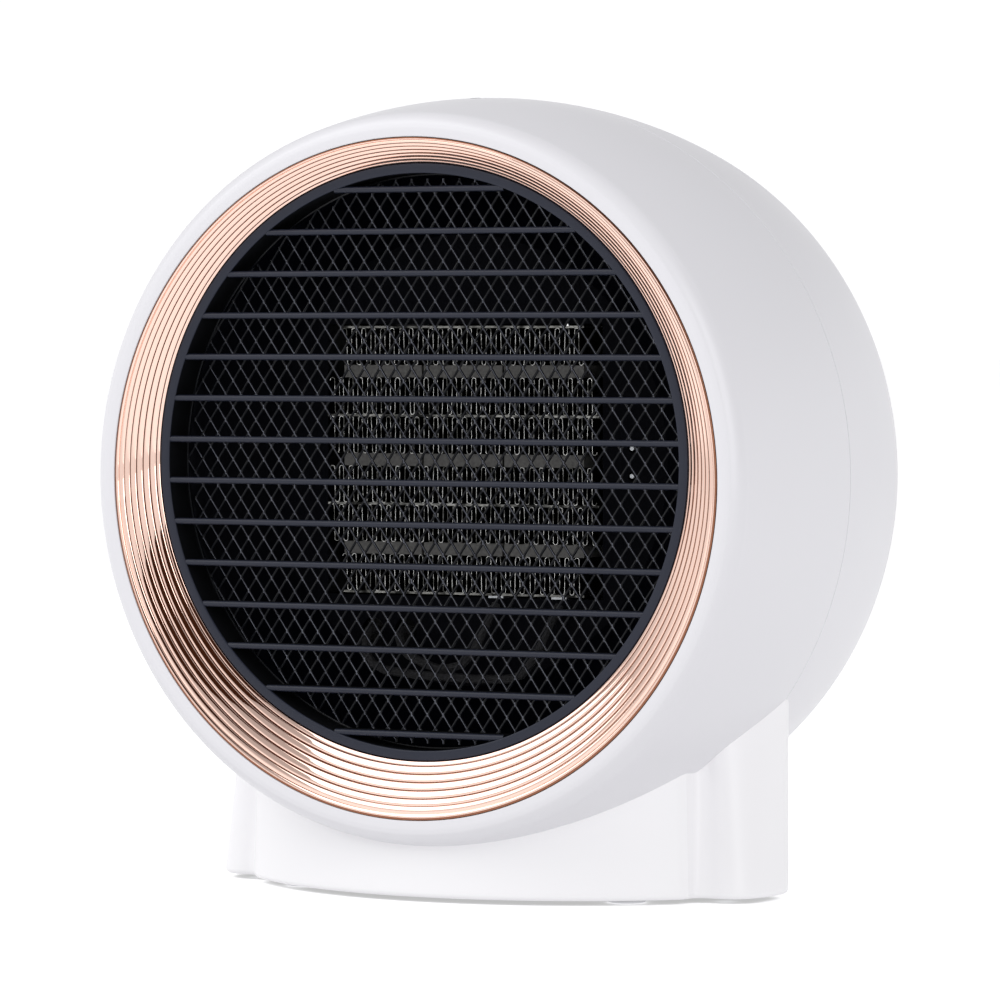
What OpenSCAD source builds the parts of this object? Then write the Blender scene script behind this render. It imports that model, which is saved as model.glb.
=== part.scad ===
// Round table-top ceramic fan heater.
// The body is turned about an axis that runs front to back. The front faces -Y, the rear faces +Y,
// +Z is up, and the rubber feet stand on the plane Z = 0. The modules measure Y from the widest
// section of the body; placed() then moves the heater so that Y = 0 is halfway along its depth.

/* [Body] */
// Greatest diameter of the round body
body_d = 184; // [160:1:220]
// Distance from the widest section forward to the front of the trim ring
front_depth = 48.6; // [44:0.2:58]
// Distance from the widest section back to the rear wall
rear_depth = 69; // [62:1:84]
// Profile radius of the barrel-shaped side
barrel_r = 205; // [180:5:260]
// Profile radius of the rounded rear edge
rear_edge_r = 38; // [30:1:44]
// Profile radius of the rounded front rim
rim_r = 6; // [4:0.5:8]
// Wall thickness of the moulded shells
wall = 2.5; // [2:0.1:3]
// Distance of the joint between the two shells behind the widest section
seam_y = 4; // [2:0.5:8]

/* [Stand] */
// Gap between the lowest point of the body and the table
belly_gap = 9; // [8:0.5:16]
// Half width of the front and rear panels of the stand
panel_half_w = 59.5; // [52:0.5:64]
// Distance from the middle of the stand to the crown of its panels
panel_reach = 42.5; // [36:0.5:46]
// Distance from the middle of the stand to the corners of its panels
panel_corner_y = 18; // [17:0.5:22]
// Half width across the rounded side wings
wing_half_w = 75; // [70:0.5:80]
// Half depth of the side wings
wing_half_d = 12; // [10:0.5:13]
// Corner radius of the side wings
wing_r = 8; // [5:0.5:9]
// Height of the rubber feet below the stand
foot_proud = 1; // [0.6:0.1:2]

/* [Air outlet] */
// Width of the white bezel between the rim crease and the trim ring
bezel_w = 3; // [2:0.1:5]
// Mean width of the trim ring
ring_w = 9.7; // [8:0.1:13]
// Width of the plain outer band of the trim ring
band_w = 2.6; // [2:0.1:4]
// How far the outlet is set above the axis of the body
outlet_up = 3.9; // [0:0.1:5]
// How far the face of the grille is set back behind the trim ring
outlet_recess = 5.9; // [4.5:0.1:7]
// Number of steps in the trim ring
ring_steps = 6; // [4:1:8]
// Pitch of the grille slats
slat_pitch = 10; // [8:0.5:14]
// Thickness of one slat
slat_t = 1.5; // [1.2:0.1:2.5]
// Depth of the grille from front to back
grille_depth = 8.7; // [8:0.1:12]

/* [Heating element] */
// Width of the finned element
ptc_w = 74; // [60:1:84]
// Height of one row of fins
fin_h = 9; // [7:0.5:11]
// Thickness of one ceramic bar
ceramic_t = 3; // [2.4:0.1:4]
// Thickness of one spacer plate
plate_t = 0.5; // [0.4:0.1:0.8]
// Depth of the element along the air flow
ptc_depth = 14; // [12:0.5:16]
// Number of corrugations across one fin
fin_waves = 28; // [20:1:34]

/* [Fan] */
// Number of fan blades
blade_count = 7; // [5:1:9]
// Pitch angle of the blades
blade_pitch = 32; // [25:1:40]
// Diameter of the motor can
motor_d = 32; // [28:1:36]
// Length of the motor can
motor_len = 24; // [20:1:26]
// Diameter of the motor shaft
shaft_d = 3.2; // [3:0.1:4]

/* [Controls] */
// Diameter of the round push button
button_d = 28; // [22:0.5:32]
// Distance of the button behind the widest section
button_y = 24.7; // [22:0.1:28]
// Travel of the push button
button_travel = 1.2; // [0.8:0.1:1.4]
// Diameter of the indicator window
indicator_d = 3; // [2.5:0.1:4]
// Distance of the indicator in front of the widest section
indicator_y = 13; // [10:0.5:16]
// Travel of the tip-over plunger
plunger_travel = 3; // [2:0.5:3.5]

/* [Cord inlet] */
// Bore of the cord gland
gland_bore_d = 6.6; // [5:0.1:8]
// Distance of the gland below the axis of the body
gland_down = 62; // [58:0.5:66]

/* [Hidden] */
$fn = 64;

gap = 0.15;          // sliding clearance between moulded parts
run_gap = 0.03;      // radial running clearance of the shaft in its bushes
shadow = 0.25;       // gap round the push button and the plunger
eps = 0.01;

body_r = body_d / 2;
axis_h = body_r + belly_gap;
air_h = axis_h + outlet_up;
barrel_x = body_r - barrel_r;

// Rear edge arc, tangent to the barrel and to the rear wall
rear_arc_y = rear_depth - rear_edge_r;
rear_arc_x = barrel_x + sqrt(pow(barrel_r - rear_edge_r, 2) - pow(rear_arc_y, 2));
rear_tangent = asin(rear_arc_y / (barrel_r - rear_edge_r));

// Front rim arc, tangent to the barrel and cut off at the crease of the bezel
ring_proud = 0.6;
rim_y = -(front_depth - ring_proud);
rim_arc_y = rim_y + rim_r * sin(64);
rim_arc_x = barrel_x + sqrt(pow(barrel_r - rim_r, 2) - pow(rim_arc_y, 2));
rim_tangent = asin(rim_arc_y / (barrel_r - rim_r));
crease_r = rim_arc_x + rim_r * cos(64);

// Trim ring, grille and what sits behind them, from the front backwards
ring_r = crease_r - bezel_w;
outlet_r = ring_r - ring_w;
seat_depth = 7.6;
seat_y = -front_depth + seat_depth;
shelf_t = 2.5;
shelf_back = seat_y + shelf_t;
grille_y = -front_depth + outlet_recess;
grille_back = grille_y + grille_depth;
grille_rim = 2.4;
grille_out_r = outlet_r - gap;
grille_in_r = grille_out_r - grille_rim;
flange_t = 2;
flange_r = outlet_r + 4.7;
mesh_t = 0.8;
funnel_y = grille_back + mesh_t;
funnel_boss_r = ring_r + 1;
lug_t = 1.6;
funnel_angles = [30, 150, 210, 330];

// Heating element, its frame and the air duct
ptc_h = 6 * fin_h + 3 * ceramic_t + 4 * plate_t;
ptc_short_w = ptc_w - 8;
frame_gap = 0.5;
frame_wall = 1.6;
frame_t = 2;
frame_y = funnel_y + 14.2;
ptc_y = frame_y - 1;
duct_wall = 2;
duct_in_r = sqrt(pow(ptc_w / 2 + frame_gap + frame_wall, 2)
    + pow(ptc_h / 2 + frame_gap + frame_wall, 2)) + 1.4;
duct_out_r = duct_in_r + duct_wall;
frame_r = duct_out_r + 2.5;
duct_flange_r = duct_out_r + 6;
duct_back = 33;
bracket_t = 3;
fastener_r = duct_out_r + 3;
fastener_angles = [45, 135, 225, 315];

// Fan and motor
shaft_r = shaft_d / 2;
bracket_back = duct_back + bracket_t;
motor_r = motor_d / 2;
motor_boss_r = 5;
hub_r = motor_r;
hub_len = 18;
hub_back = duct_back - 3;
hub_y = hub_back - hub_len;
blade_r = duct_in_r - 1.6;
blade_t = 1.6;
motor_hole_r = 1.6;
motor_hole_at = motor_r - 5;

// Rear grille
intake_r = 46;
intake_rim = 3;
intake_t = 3;
intake_ring_w = 2;
intake_pitch = 6;

// Screws
screw_r = 1.5;
head_r = 2.8;
head_t = 2.2;
pilot_gap = 0.05;
boss_r = 4;
well_r = 3.7;
well_wall = 1.5;
well_at = (body_r - 16);
well_seat = seam_y + 6;
well_angles = [45, 135, 225, 315];
stand_screws_at = [[-40, -20], [40, -20], [-40, 22], [40, 22]];
stand_screw_len = 15;

// Stand
panel_r = (pow(panel_half_w, 2) + pow(panel_reach - panel_corner_y, 2))
    / (2 * (panel_reach - panel_corner_y));
panel_cy = panel_r - panel_reach;
corner_r = wall + 0.5;
corner_x = panel_half_w - corner_r;
corner_y = panel_cy - sqrt(pow(panel_r - corner_r, 2) - pow(corner_x, 2));
corner_turn = atan2(corner_y - panel_cy, corner_x);
valley_r = max(0.5, min(3.5, -corner_y - wing_half_d - 0.3));
base_z = foot_proud;
stand_top = axis_h - 40;
plate_base_t = 2;
plate_top = base_z + plate_base_t;
foot_r = 5;
foot_sink = 0.9;
feet_at = [[-44, -19], [44, -19], [-44, 19], [44, 19]];
plate_screws_at = [[-64, -6], [64, -6], [-64, 6], [64, 6]];
plunger_at = [-55, 0];
switch_len = 15;
switch_h = 6.5;
plunger_r = 3;
plunger_flange_r = 4.4;
plunger_flange_t = 1.2;
plunger_len = 9.5;

// Push button and boards
button_r = button_d / 2;
button_skin = 2;
button_lip = 1.2;
board_t = 1.6;
board_z = axis_h + body_r - 21;
stem_end = board_z + board_t + 4.4;
board_w = 44;
board_front_y = -indicator_y - 6;
board_back_y = button_y + 17;
board_posts = [[-18, -13], [18, -13], [-18, 13], [18, 13]];
board_screw_r = 1.1;
board_hole_r = 1.2;
power_z = belly_gap + 13;
power_w = 56;
power_d = 30;
power_y = 20;
power_posts = [[-24, -11], [24, -11], [-24, 11], [24, 11]];

// Cord gland
gland_r = gland_bore_d / 2 + 2.1;
gland_flange_r = gland_r + 2.1;
gland_flange_t = 2.5;
gland_len = 11;
gland_pad_r = gland_flange_r + 1.5;
gland_pad_y = rear_depth - 0.4;

// Half of what lies behind the widest section less half of what lies before it
mid_y = (gland_pad_y + gland_flange_t - front_depth) / 2;
module placed() translate([0, -mid_y, 0]) children();

white = "#eeeef1";
black = "#23252b";
gold = "#d9a487";
steel = "#b9bcc0";
alloy = "#c9cbce";
board_green = "#2f6b45";

function arc(cx, cy, r, a0, a1, n) =
    [for (i = [0:n]) let (a = a0 + (a1 - a0) * i / n) [cx + r * cos(a), cy + r * sin(a)]];

// Side outline of the body from the rim arc to the rear wall, moved in by inset; x is the radius
function side(inset) = concat(
    arc(rim_arc_x, rim_arc_y, rim_r - inset, -64, rim_tangent, 8),
    arc(barrel_x, 0, barrel_r - inset, rim_tangent, rear_tangent, 22),
    arc(rear_arc_x, rear_arc_y, rear_edge_r - inset, rear_tangent, 90, 16));

// Radius of the barrel at the distance y behind the widest section
function barrel_at(y) = barrel_x + sqrt(pow(barrel_r, 2) - y * y);

// Height of the body's lower surface above the table at the place x, y
function belly_at(x, y) = axis_h - sqrt(pow(barrel_at(y), 2) - x * x);

function unit(v) = v / norm(v);

// Turns a profile about the axis of the body; a profile's y becomes the distance along +Y
module turned() translate([0, 0, axis_h]) rotate([-90, 0, 0]) rotate_extrude($fn = 96) children();

// Draws along +Y from the plane y, with the origin on the axis at the height h
module along_y(y, h = axis_h) translate([0, y, h]) rotate([-90, 0, 0]) children();

// A round bar along +Y
module rod_y(x, y, z, r, len) translate([x, y, z]) rotate([-90, 0, 0]) cylinder(r = r, h = len);

// A tube about the axis at the height h
module tube_y(y, h, r_in, r_out, len) along_y(y, h) difference() {
    cylinder(r = r_out, h = len);
    translate([0, 0, -1]) cylinder(r = r_in, h = len + 2);
}

// Places children at angles round the axis at the height h, at the radius at
module polar_y(h, at, angles) for (a = angles)
    translate([at * cos(a), 0, h + at * sin(a)]) children();

// The whole body as one closed solid, moved in by inset
module body_solid(inset = 0) turned() polygon(concat([[0, rim_y + inset]], side(inset),
    [[0, rear_depth - inset]]));

// Section of the shell wall between the planes y0 and y1
module wall_profile(y0, y1) intersection() {
    difference() {
        polygon(concat([[0, rim_y]], side(0), [[0, rear_depth]]));
        polygon(concat([[0, rim_y + wall]], side(wall), [[0, rear_depth - wall]]));
    }
    translate([0, y0]) square([body_r + 1, y1 - y0]);
}
module shell_wall(y0, y1) turned() wall_profile(y0, y1);

// A pan-head screw along +Z with its head below the origin and its thread above
module screw(len) {
    translate([0, 0, -head_t]) cylinder(r = head_r, h = head_t);
    translate([0, 0, -eps]) cylinder(r = screw_r, h = len + eps);
}

module screw_slots() for (a = [0, 90]) rotate(a)
    translate([-head_r * 0.6, -0.4, -head_t - 1]) cube([head_r * 1.2, 0.8, 2]);

module cross_screw(len) difference() {
    screw(len);
    screw_slots();
}

// ---- Front shell: rim, bezel, ring seat, and the bosses behind them ----
module front_shell() color(white) difference() {
    union() {
        turned() difference() {
            union() {
                wall_profile(rim_y - 1, seam_y);
                // Shelf that carries the trim ring, and the seat wall round the ring
                translate([0, seat_y]) square([barrel_at(seat_y) - wall + 0.6, shelf_t]);
                translate([ring_r - 1, rim_y + 0.5])
                    square([crease_r - ring_r + 1, seat_y - rim_y]);
            }
            // Pocket for the trim ring
            translate([-1, rim_y - 5]) square([ring_r + gap + 1, seat_y - rim_y + 5]);
        }
        polar_y(axis_h, funnel_boss_r, funnel_angles)
            rod_y(0, shelf_back - eps, 0, 3, funnel_y - shelf_back);
        intersection() {
            polar_y(axis_h, well_at, well_angles) rod_y(0, seam_y - 14, 0, boss_r, 14);
            body_solid(wall / 2);
        }
        // Webs that tie the screw bosses to the wall
        intersection() {
            for (a = well_angles) translate([0, 0, axis_h]) rotate([0, -a, 0])
                translate([well_at, seam_y - 12, -1]) cube([body_r, 10, 2]);
            body_solid(wall / 2);
        }
        intersection() {
            for (p = stand_screws_at) if (p[1] < 0)
                translate([p[0], p[1], 0]) cylinder(r = boss_r, h = belly_at(p[0], p[1]) + 10);
            body_solid(wall / 2);
        }
    }
    // Eccentric hole for the grille
    along_y(rim_y - 5, air_h) cylinder(r = outlet_r, h = 30, $fn = 96);
    polar_y(axis_h, funnel_boss_r, funnel_angles)
        rod_y(0, shelf_back + 1, 0, screw_r + pilot_gap, 12);
    polar_y(axis_h, well_at, well_angles) rod_y(0, seam_y - 12, 0, screw_r + pilot_gap, 20);
    for (p = stand_screws_at) if (p[1] < 0)
        translate([p[0], p[1], 0]) cylinder(r = screw_r + pilot_gap,
            h = belly_at(p[0], p[1]) + 8);
    for (a = ring_stud_angles) polar_y(axis_h, ring_stud_r, [a])
        rod_y(0, seat_y - 1, 0, ring_stud_d / 2 + gap, shelf_t + 2);
    translate([0, -indicator_y, axis_h]) cylinder(r = indicator_d / 2 + 0.1, h = body_r + 5);
}

// ---- Rear shell: dome, lip, wells, board posts, button hole, intake and gland pad ----
module rear_shell() color(white) difference() {
    union() {
        shell_wall(seam_y, rear_depth + 1);
        // Lip that reaches inside the front shell
        turned() polygon([[barrel_at(seam_y) - wall - 1.5, seam_y - 3],
            [barrel_at(seam_y) - wall - 0.3, seam_y - 3],
            [barrel_at(seam_y) - wall - 0.3, seam_y],
            [barrel_at(seam_y) - wall + 0.4, seam_y],
            [barrel_at(seam_y) - wall + 0.4, seam_y + 4],
            [barrel_at(seam_y) - wall - 1.5, seam_y + 4]]);
        intersection() {
            union() {
                polar_y(axis_h, well_at, well_angles)
                    rod_y(0, seam_y, 0, well_r + well_wall, rear_depth);
                for (a = well_angles) translate([0, 0, axis_h]) rotate([0, -a, 0])
                    translate([well_at + well_r, seam_y + 4, -1]) cube([body_r, 40, 2]);
                polar_y(air_h, fastener_r, fastener_angles)
                    rod_y(0, bracket_back, 0, 3, rear_depth);
                for (p = stand_screws_at) if (p[1] > 0)
                    translate([p[0], p[1], 0])
                        cylinder(r = boss_r, h = belly_at(p[0], p[1]) + 10);
                for (p = board_posts) translate([p[0], button_y + p[1], board_z + board_t])
                    cylinder(r = 2.5, h = 60);
                for (p = power_posts) translate([p[0], power_y + p[1], 0])
                    cylinder(r = 2.5, h = power_z);
            }
            body_solid(wall / 2);
        }
        // Flat pad for the cord gland
        rod_y(0, gland_pad_y - 8, axis_h - gland_down, gland_pad_r, 8);
    }
    along_y(0, air_h) cylinder(r = intake_r + gap, h = rear_depth + 5, $fn = 96);
    polar_y(axis_h, well_at, well_angles) {
        rod_y(0, well_seat, 0, well_r, rear_depth);
        rod_y(0, seam_y - 1, 0, screw_r + 0.2, rear_depth);
    }
    polar_y(air_h, fastener_r, fastener_angles)
        rod_y(0, bracket_back - 1, 0, screw_r + pilot_gap, 12);
    for (p = stand_screws_at) if (p[1] > 0)
        translate([p[0], p[1], 0]) cylinder(r = screw_r + pilot_gap,
            h = belly_at(p[0], p[1]) + 8);
    rod_y(0, rear_depth - 25, axis_h - gland_down, gland_r + gap, 40);
    // Flat seat for the flange of the cord gland
    rod_y(0, gland_pad_y, axis_h - gland_down, gland_pad_r, 8);
    for (p = board_posts) translate([p[0], button_y + p[1], board_z])
        cylinder(r = board_hole_r, h = board_t + 6);
    for (p = power_posts) translate([p[0], power_y + p[1], power_z - 6])
        cylinder(r = board_hole_r, h = 7);
    translate([0, button_y, axis_h + body_r - 20]) cylinder(r = button_r + shadow, h = 40);
}

// ---- Stand ----
// One quarter of the outline, moved in by inset, from the crown of a panel to the end of a wing
function quarter(inset) = concat(
    arc(0, panel_cy, panel_r - inset, -90, corner_turn, 14),
    arc(corner_x, corner_y, corner_r - inset, corner_turn, 0, 4),
    arc(panel_half_w + valley_r, -wing_half_d - valley_r, valley_r + inset, 180, 90, 6),
    arc(wing_half_w - wing_r, wing_r - wing_half_d, wing_r - inset, -90, 0, 8));

// Two bowed panels back to back, with a rounded wing at each side
module footprint(inset = 0) {
    q = quarter(inset);
    last = len(q) - 1;
    polygon(concat(q, [for (i = [last:-1:1]) [q[i][0], -q[i][1]]], [for (v = q) -v],
        [for (i = [last:-1:1]) [-q[i][0], q[i][1]]]));
}

module base_stand() color(white) difference() {
    union() {
        difference() {
            translate([0, 0, base_z]) linear_extrude(stand_top - base_z) footprint();
            difference() {
                translate([0, 0, base_z - 1]) linear_extrude(stand_top) footprint(wall);
                body_solid(-wall);
            }
        }
        intersection() {
            union() {
                for (p = stand_screws_at) translate([p[0], p[1], belly_at(p[0], p[1]) - 6.5])
                    cylinder(r = head_r + 1.2, h = 10);
                for (p = plate_screws_at) translate([p[0], p[1], plate_top])
                    cylinder(r = 3, h = 40);
            }
            translate([0, 0, base_z]) linear_extrude(stand_top) footprint(wall / 2);
        }
    }
    body_solid();
    for (p = stand_screws_at) translate([p[0], p[1], 0]) cylinder(r = screw_r + 0.2, h = 60);
    for (p = plate_screws_at) translate([p[0], p[1], 0])
        cylinder(r = screw_r + pilot_gap, h = plate_top + 9);
    // Way through for the wires of the tip-over switch
    translate([plunger_at[0] + 16, 0, plate_top]) cylinder(r = 3, h = 60);
}

module base_plate() color(black) difference() {
    union() {
        translate([0, 0, base_z]) linear_extrude(plate_base_t) footprint(wall + gap);
        // Guide of the plunger
        translate([plunger_at[0], plunger_at[1], plate_top - eps])
            cylinder(r = plunger_flange_r + shadow + 1.2, h = 6);
        // Posts of the tip-over switch
        for (x = [-7.3, 7.3]) translate([plunger_at[0] + x, plunger_at[1], plate_top + 3.6 - eps])
            cube([2.2, 6.4, 7.2], center = true);
    }
    translate([plunger_at[0], plunger_at[1], -1]) cylinder(r = plunger_r + shadow, h = 20);
    translate([plunger_at[0], plunger_at[1], plate_top])
        cylinder(r = plunger_flange_r + shadow, h = 20);
    for (p = plate_screws_at) translate([p[0], p[1], -1]) {
        cylinder(r = screw_r + 0.2, h = 20);
        cylinder(r = 2.8, h = 1 + base_z + 0.6);
    }
    for (p = feet_at) translate([p[0], p[1], -1])
        cylinder(r = foot_r + 0.05, h = 1 + base_z + foot_sink);
}

module rubber_feet() color("#3a3b3f") for (p = feet_at) translate([p[0], p[1], 0])
    rotate_extrude() polygon([[0, 0], [foot_r - 0.6, 0], [foot_r - 0.15, 0.4],
        [foot_r, base_z + 0.1], [foot_r, base_z + foot_sink], [0, base_z + foot_sink]]);

// ---- Trim ring: stepped rose-gold ring whose steps run from the round rim to the raised outlet
ring_stud_angles = [90, 210, 330];
ring_stud_r = ring_r - 2.9;
ring_stud_d = 2;
module trim_ring() color(gold) difference() {
    union() {
        along_y(-front_depth) cylinder(r = ring_r, h = seat_depth, $fn = 128);
        for (a = ring_stud_angles) polar_y(axis_h, ring_stud_r, [a])
            rod_y(0, seat_y - eps, 0, ring_stud_d / 2, shelf_t - 0.1);
    }
    for (i = [0:ring_steps]) let (s = i / ring_steps)
        along_y(-front_depth - 1, axis_h + outlet_up * s)
            cylinder(r = (ring_r - band_w) * (1 - s) + outlet_r * s,
                h = i == ring_steps ? 20 : 1 + 0.5 + (outlet_recess - 0.7) * s, $fn = 128);
}

// ---- Grille, guard mesh and funnel ----
module front_grille() color(black) {
    tube_y(grille_y, air_h, grille_in_r, grille_out_r, grille_depth);
    tube_y(shelf_back + gap, air_h, grille_out_r - 0.3, flange_r, flange_t);
    intersection() {
        for (s = [-1, 1], k = [0:ceil(grille_in_r / slat_pitch) - 1])
            if ((k + 0.5) * slat_pitch + slat_t < grille_in_r)
                translate([-outlet_r, grille_y, air_h + s * (k + 0.5) * slat_pitch - slat_t / 2])
                    cube([2 * outlet_r, grille_depth - 2, slat_t]);
        along_y(grille_y, air_h) cylinder(r = grille_in_r + 0.5, h = grille_depth);
    }
}

// The screen carries every third strand of the expanded metal
strand_w = 0.9;
strand_pitch = 13;
strand_angle = 56;
module guard_mesh() color("#34363c") {
    tube_y(grille_back, air_h, grille_in_r - 0.4, grille_out_r - 0.2, mesh_t);
    intersection() {
        for (s = [-1, 1], i = [-8:8]) translate([i * strand_pitch, grille_back, air_h])
            rotate([0, s * (90 - strand_angle), 0])
                translate([-strand_w / 2, 0.1, -outlet_r * 1.5])
                    cube([strand_w, mesh_t - 0.2, outlet_r * 3]);
        along_y(grille_back, air_h) cylinder(r = grille_in_r, h = mesh_t);
    }
}

module outlet_funnel() color(black) difference() {
    union() {
        along_y(0, air_h) rotate_extrude($fn = 96) polygon([
            [grille_in_r, funnel_y], [flange_r, funnel_y], [flange_r, funnel_y + flange_t],
            [grille_in_r + 2, funnel_y + flange_t], [frame_r - 1, frame_y],
            [frame_r - 3.5, frame_y]]);
        for (a = funnel_angles) polar_y(axis_h, funnel_boss_r, [a])
            rod_y(0, funnel_y, 0, 3, lug_t);
        // Bridges between the flange and the screw lugs
        for (a = funnel_angles) translate([0, 0, axis_h]) rotate([0, -a, 0])
            translate([flange_r - 5, funnel_y, -2.6])
                cube([funnel_boss_r - flange_r + 5, lug_t, 5.2]);
    }
    polar_y(axis_h, funnel_boss_r, funnel_angles)
        rod_y(0, funnel_y - 1, 0, screw_r + 0.2, 10);
}

// ---- Heating element ----
module ptc_frame() color("#1b1c20") difference() {
    union() {
        along_y(frame_y, air_h) cylinder(r = frame_r, h = frame_t);
        translate([-(ptc_w / 2 + frame_gap + frame_wall), frame_y,
            air_h - (ptc_h / 2 + frame_gap + frame_wall)])
            cube([ptc_w + 2 * (frame_gap + frame_wall), ptc_depth + 1,
                ptc_h + 2 * (frame_gap + frame_wall)]);
    }
    translate([-(ptc_w / 2 + frame_gap), frame_y - 1, air_h - (ptc_h / 2 + frame_gap)])
        cube([ptc_w + 2 * frame_gap, ptc_depth + 5, ptc_h + 2 * frame_gap]);
    for (z = [-1, 1]) rod_y(ptc_w / 2 + 8.5, frame_y - 1, air_h + z * 3.4, 1.2, 6);
    for (x = lead_holes) rod_y(x, frame_y - 1, air_h - ptc_h / 2 - 9, 3, 6);
}

// Outline of one corrugated strip of the width w, drawn as a trapezoid wave
strip_t = 0.25;
function wave(w, n) = let (p = w / n, f = p * 0.18) concat([for (i = [0:n - 1]) each [
    [-w / 2 + i * p, 0], [-w / 2 + i * p + f, 0],
    [-w / 2 + (i + 0.5) * p, 1], [-w / 2 + (i + 0.5) * p + f, 1]]],
    [[w / 2, 0]]);
function at_height(pts, h) = [for (q = pts) [q[0], (q[1] - 0.5) * h]];
function edge_normal(p, q) = let (d = unit(q - p)) [-d[1], d[0]];
function miter(pts, i) = let (
    a = edge_normal(pts[max(i - 1, 0)], pts[max(i, 1)]),
    b = edge_normal(pts[min(i, len(pts) - 2)], pts[min(i + 1, len(pts) - 1)]))
    (a + b) / (1 + a * b);
function ribbon(pts, t) = concat(
    [for (i = [0:len(pts) - 1]) pts[i] + miter(pts, i) * t / 2],
    [for (i = [len(pts) - 1:-1:0]) pts[i] - miter(pts, i) * t / 2]);

// Height of the middle of a fin row above the bottom of the element, rows numbered from 0
function fin_mid(i) = plate_t + fin_h / 2 + i * fin_h + ceil(i / 2) * ceramic_t
    + floor(i / 2) * plate_t;
ptc_bottom = air_h - ptc_h / 2;

module ptc_fins() color(alloy) for (i = [0:5]) {
    outer_row = i == 0 || i == 5;
    w = outer_row ? ptc_short_w : ptc_w - 1;
    n = outer_row ? round(fin_waves * ptc_short_w / ptc_w) : fin_waves;
    translate([0, ptc_y + ptc_depth, ptc_bottom + fin_mid(i)]) rotate([90, 0, 0])
        linear_extrude(ptc_depth) polygon(ribbon(at_height(wave(w, n), fin_h - strip_t), strip_t));
}

module ptc_ceramics() color("#8d8f92") for (i = [0, 2, 4]) for (k = [-1, 0, 1])
    translate([k * (ptc_short_w / 3), ptc_y + ptc_depth / 2,
        ptc_bottom + fin_mid(i) + fin_h / 2 + ceramic_t / 2])
        cube([ptc_short_w / 3 - 0.6, ptc_depth - 1, ceramic_t], center = true);

module ptc_plates() color(alloy) for (i = [0:3]) let (
    w = i == 0 || i == 3 ? ptc_short_w : ptc_w,
    z = i == 0 ? 0 : i == 3 ? ptc_h - plate_t : fin_mid(2 * i - 1) + fin_h / 2)
    translate([-w / 2, ptc_y, ptc_bottom + z]) cube([w, ptc_depth, plate_t]);

// Flat tabs below the element that carry the supply to it
terminal_x = [10, 27];
module ptc_terminals() color(steel) for (x = terminal_x)
    translate([x - 2, ptc_y - 1.5, ptc_bottom - frame_gap]) cube([4, 9.5, frame_gap]);

thermostat_r = 6;
module thermostat() color("#2a2b2e") {
    rod_y(ptc_w / 2 + 8.5, frame_y + frame_t, air_h, 4.8, 4);
    rod_y(ptc_w / 2 + 8.5, frame_y + frame_t + 3.9, air_h, 4, 3);
}

module thermostat_screws() color(steel) for (z = [-1, 1]) {
    rod_y(ptc_w / 2 + 8.5, frame_y - 0.8, air_h + z * 3.4, 1.7, 0.8);
    rod_y(ptc_w / 2 + 8.5, frame_y - 0.1, air_h + z * 3.4, 1.1, frame_t + 0.1);
}

module thermal_fuse() color("#c9b79a") {
    translate([-8, frame_y + frame_t + 7, air_h + ptc_h / 2 + frame_gap + frame_wall + 2.2])
        rotate([0, 90, 0]) cylinder(r = 2, h = 16);
    for (x = [-9.8, 8]) translate([x, frame_y + frame_t + 7,
        air_h + ptc_h / 2 + frame_gap + frame_wall + 2.2])
        rotate([0, 90, 0]) cylinder(r = 0.5, h = 1.8);
}

// ---- Duct, fan and motor ----
module air_duct() color("#2a2c31") difference() {
    union() {
        tube_y(frame_y + frame_t, air_h, duct_in_r, duct_out_r, duct_back - frame_y - frame_t);
        tube_y(duct_back - 2.5, air_h, duct_in_r, duct_flange_r, 2.5);
    }
    polar_y(air_h, fastener_r, fastener_angles)
        rod_y(0, duct_back - 5, 0, screw_r + 0.2, 10);
    // Port in the floor of the duct for the supply wires
    translate([port_x, port_y, air_h - duct_out_r - 2]) cylinder(r = port_r, h = 20);
}

module motor_bracket() color("#2a2c31") difference() {
    union() {
        tube_y(duct_back, air_h, duct_in_r, duct_flange_r, bracket_t);
        along_y(duct_back, air_h) cylinder(r = motor_r + 2, h = bracket_t);
        for (a = fastener_angles) translate([0, 0, air_h]) rotate([0, -a, 0])
            translate([motor_r, duct_back, -3]) cube([duct_in_r - motor_r + 1, bracket_t, 6]);
    }
    rod_y(0, duct_back - 1, air_h, motor_boss_r + gap, 10);
    polar_y(air_h, fastener_r, fastener_angles)
        rod_y(0, duct_back - 1, 0, screw_r + 0.2, 10);
    polar_y(air_h, motor_hole_at, [0, 180]) rod_y(0, duct_back - 1, 0, motor_hole_r, 10);
}

module motor_can() color(steel) difference() {
    union() {
        rod_y(0, bracket_back, air_h, motor_r, motor_len);
        rod_y(0, bracket_back - 2.5, air_h, motor_boss_r, 3);
        rod_y(0, bracket_back + motor_len - eps, air_h, motor_boss_r, 2.5);
    }
    // Hollow for the rotor, and seats for the bushes at both ends
    rod_y(0, bracket_back + 4, air_h, motor_r - 1, motor_len - 8);
    rod_y(0, bracket_back - 5, air_h, 3.2, motor_len + 12);
    polar_y(air_h, motor_hole_at, [0, 180]) rod_y(0, bracket_back - 1, 0, 1.25, 4.5);
}

module motor_bushes() color("#b08d4f") {
    tube_y(bracket_back - 2.4, air_h, shaft_r + run_gap, 3.2, 6);
    tube_y(bracket_back + motor_len - 3.6, air_h, shaft_r + run_gap, 3.2, 6);
}

// Shaft with the wound rotor on it
module motor_shaft() color("#d3d5d8") {
    rod_y(0, hub_y - 3, air_h, shaft_r, bracket_back + motor_len + 2 - hub_y + 3);
    rod_y(0, bracket_back + 5.5, air_h, motor_r - 3, motor_len - 11);
}

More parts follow.
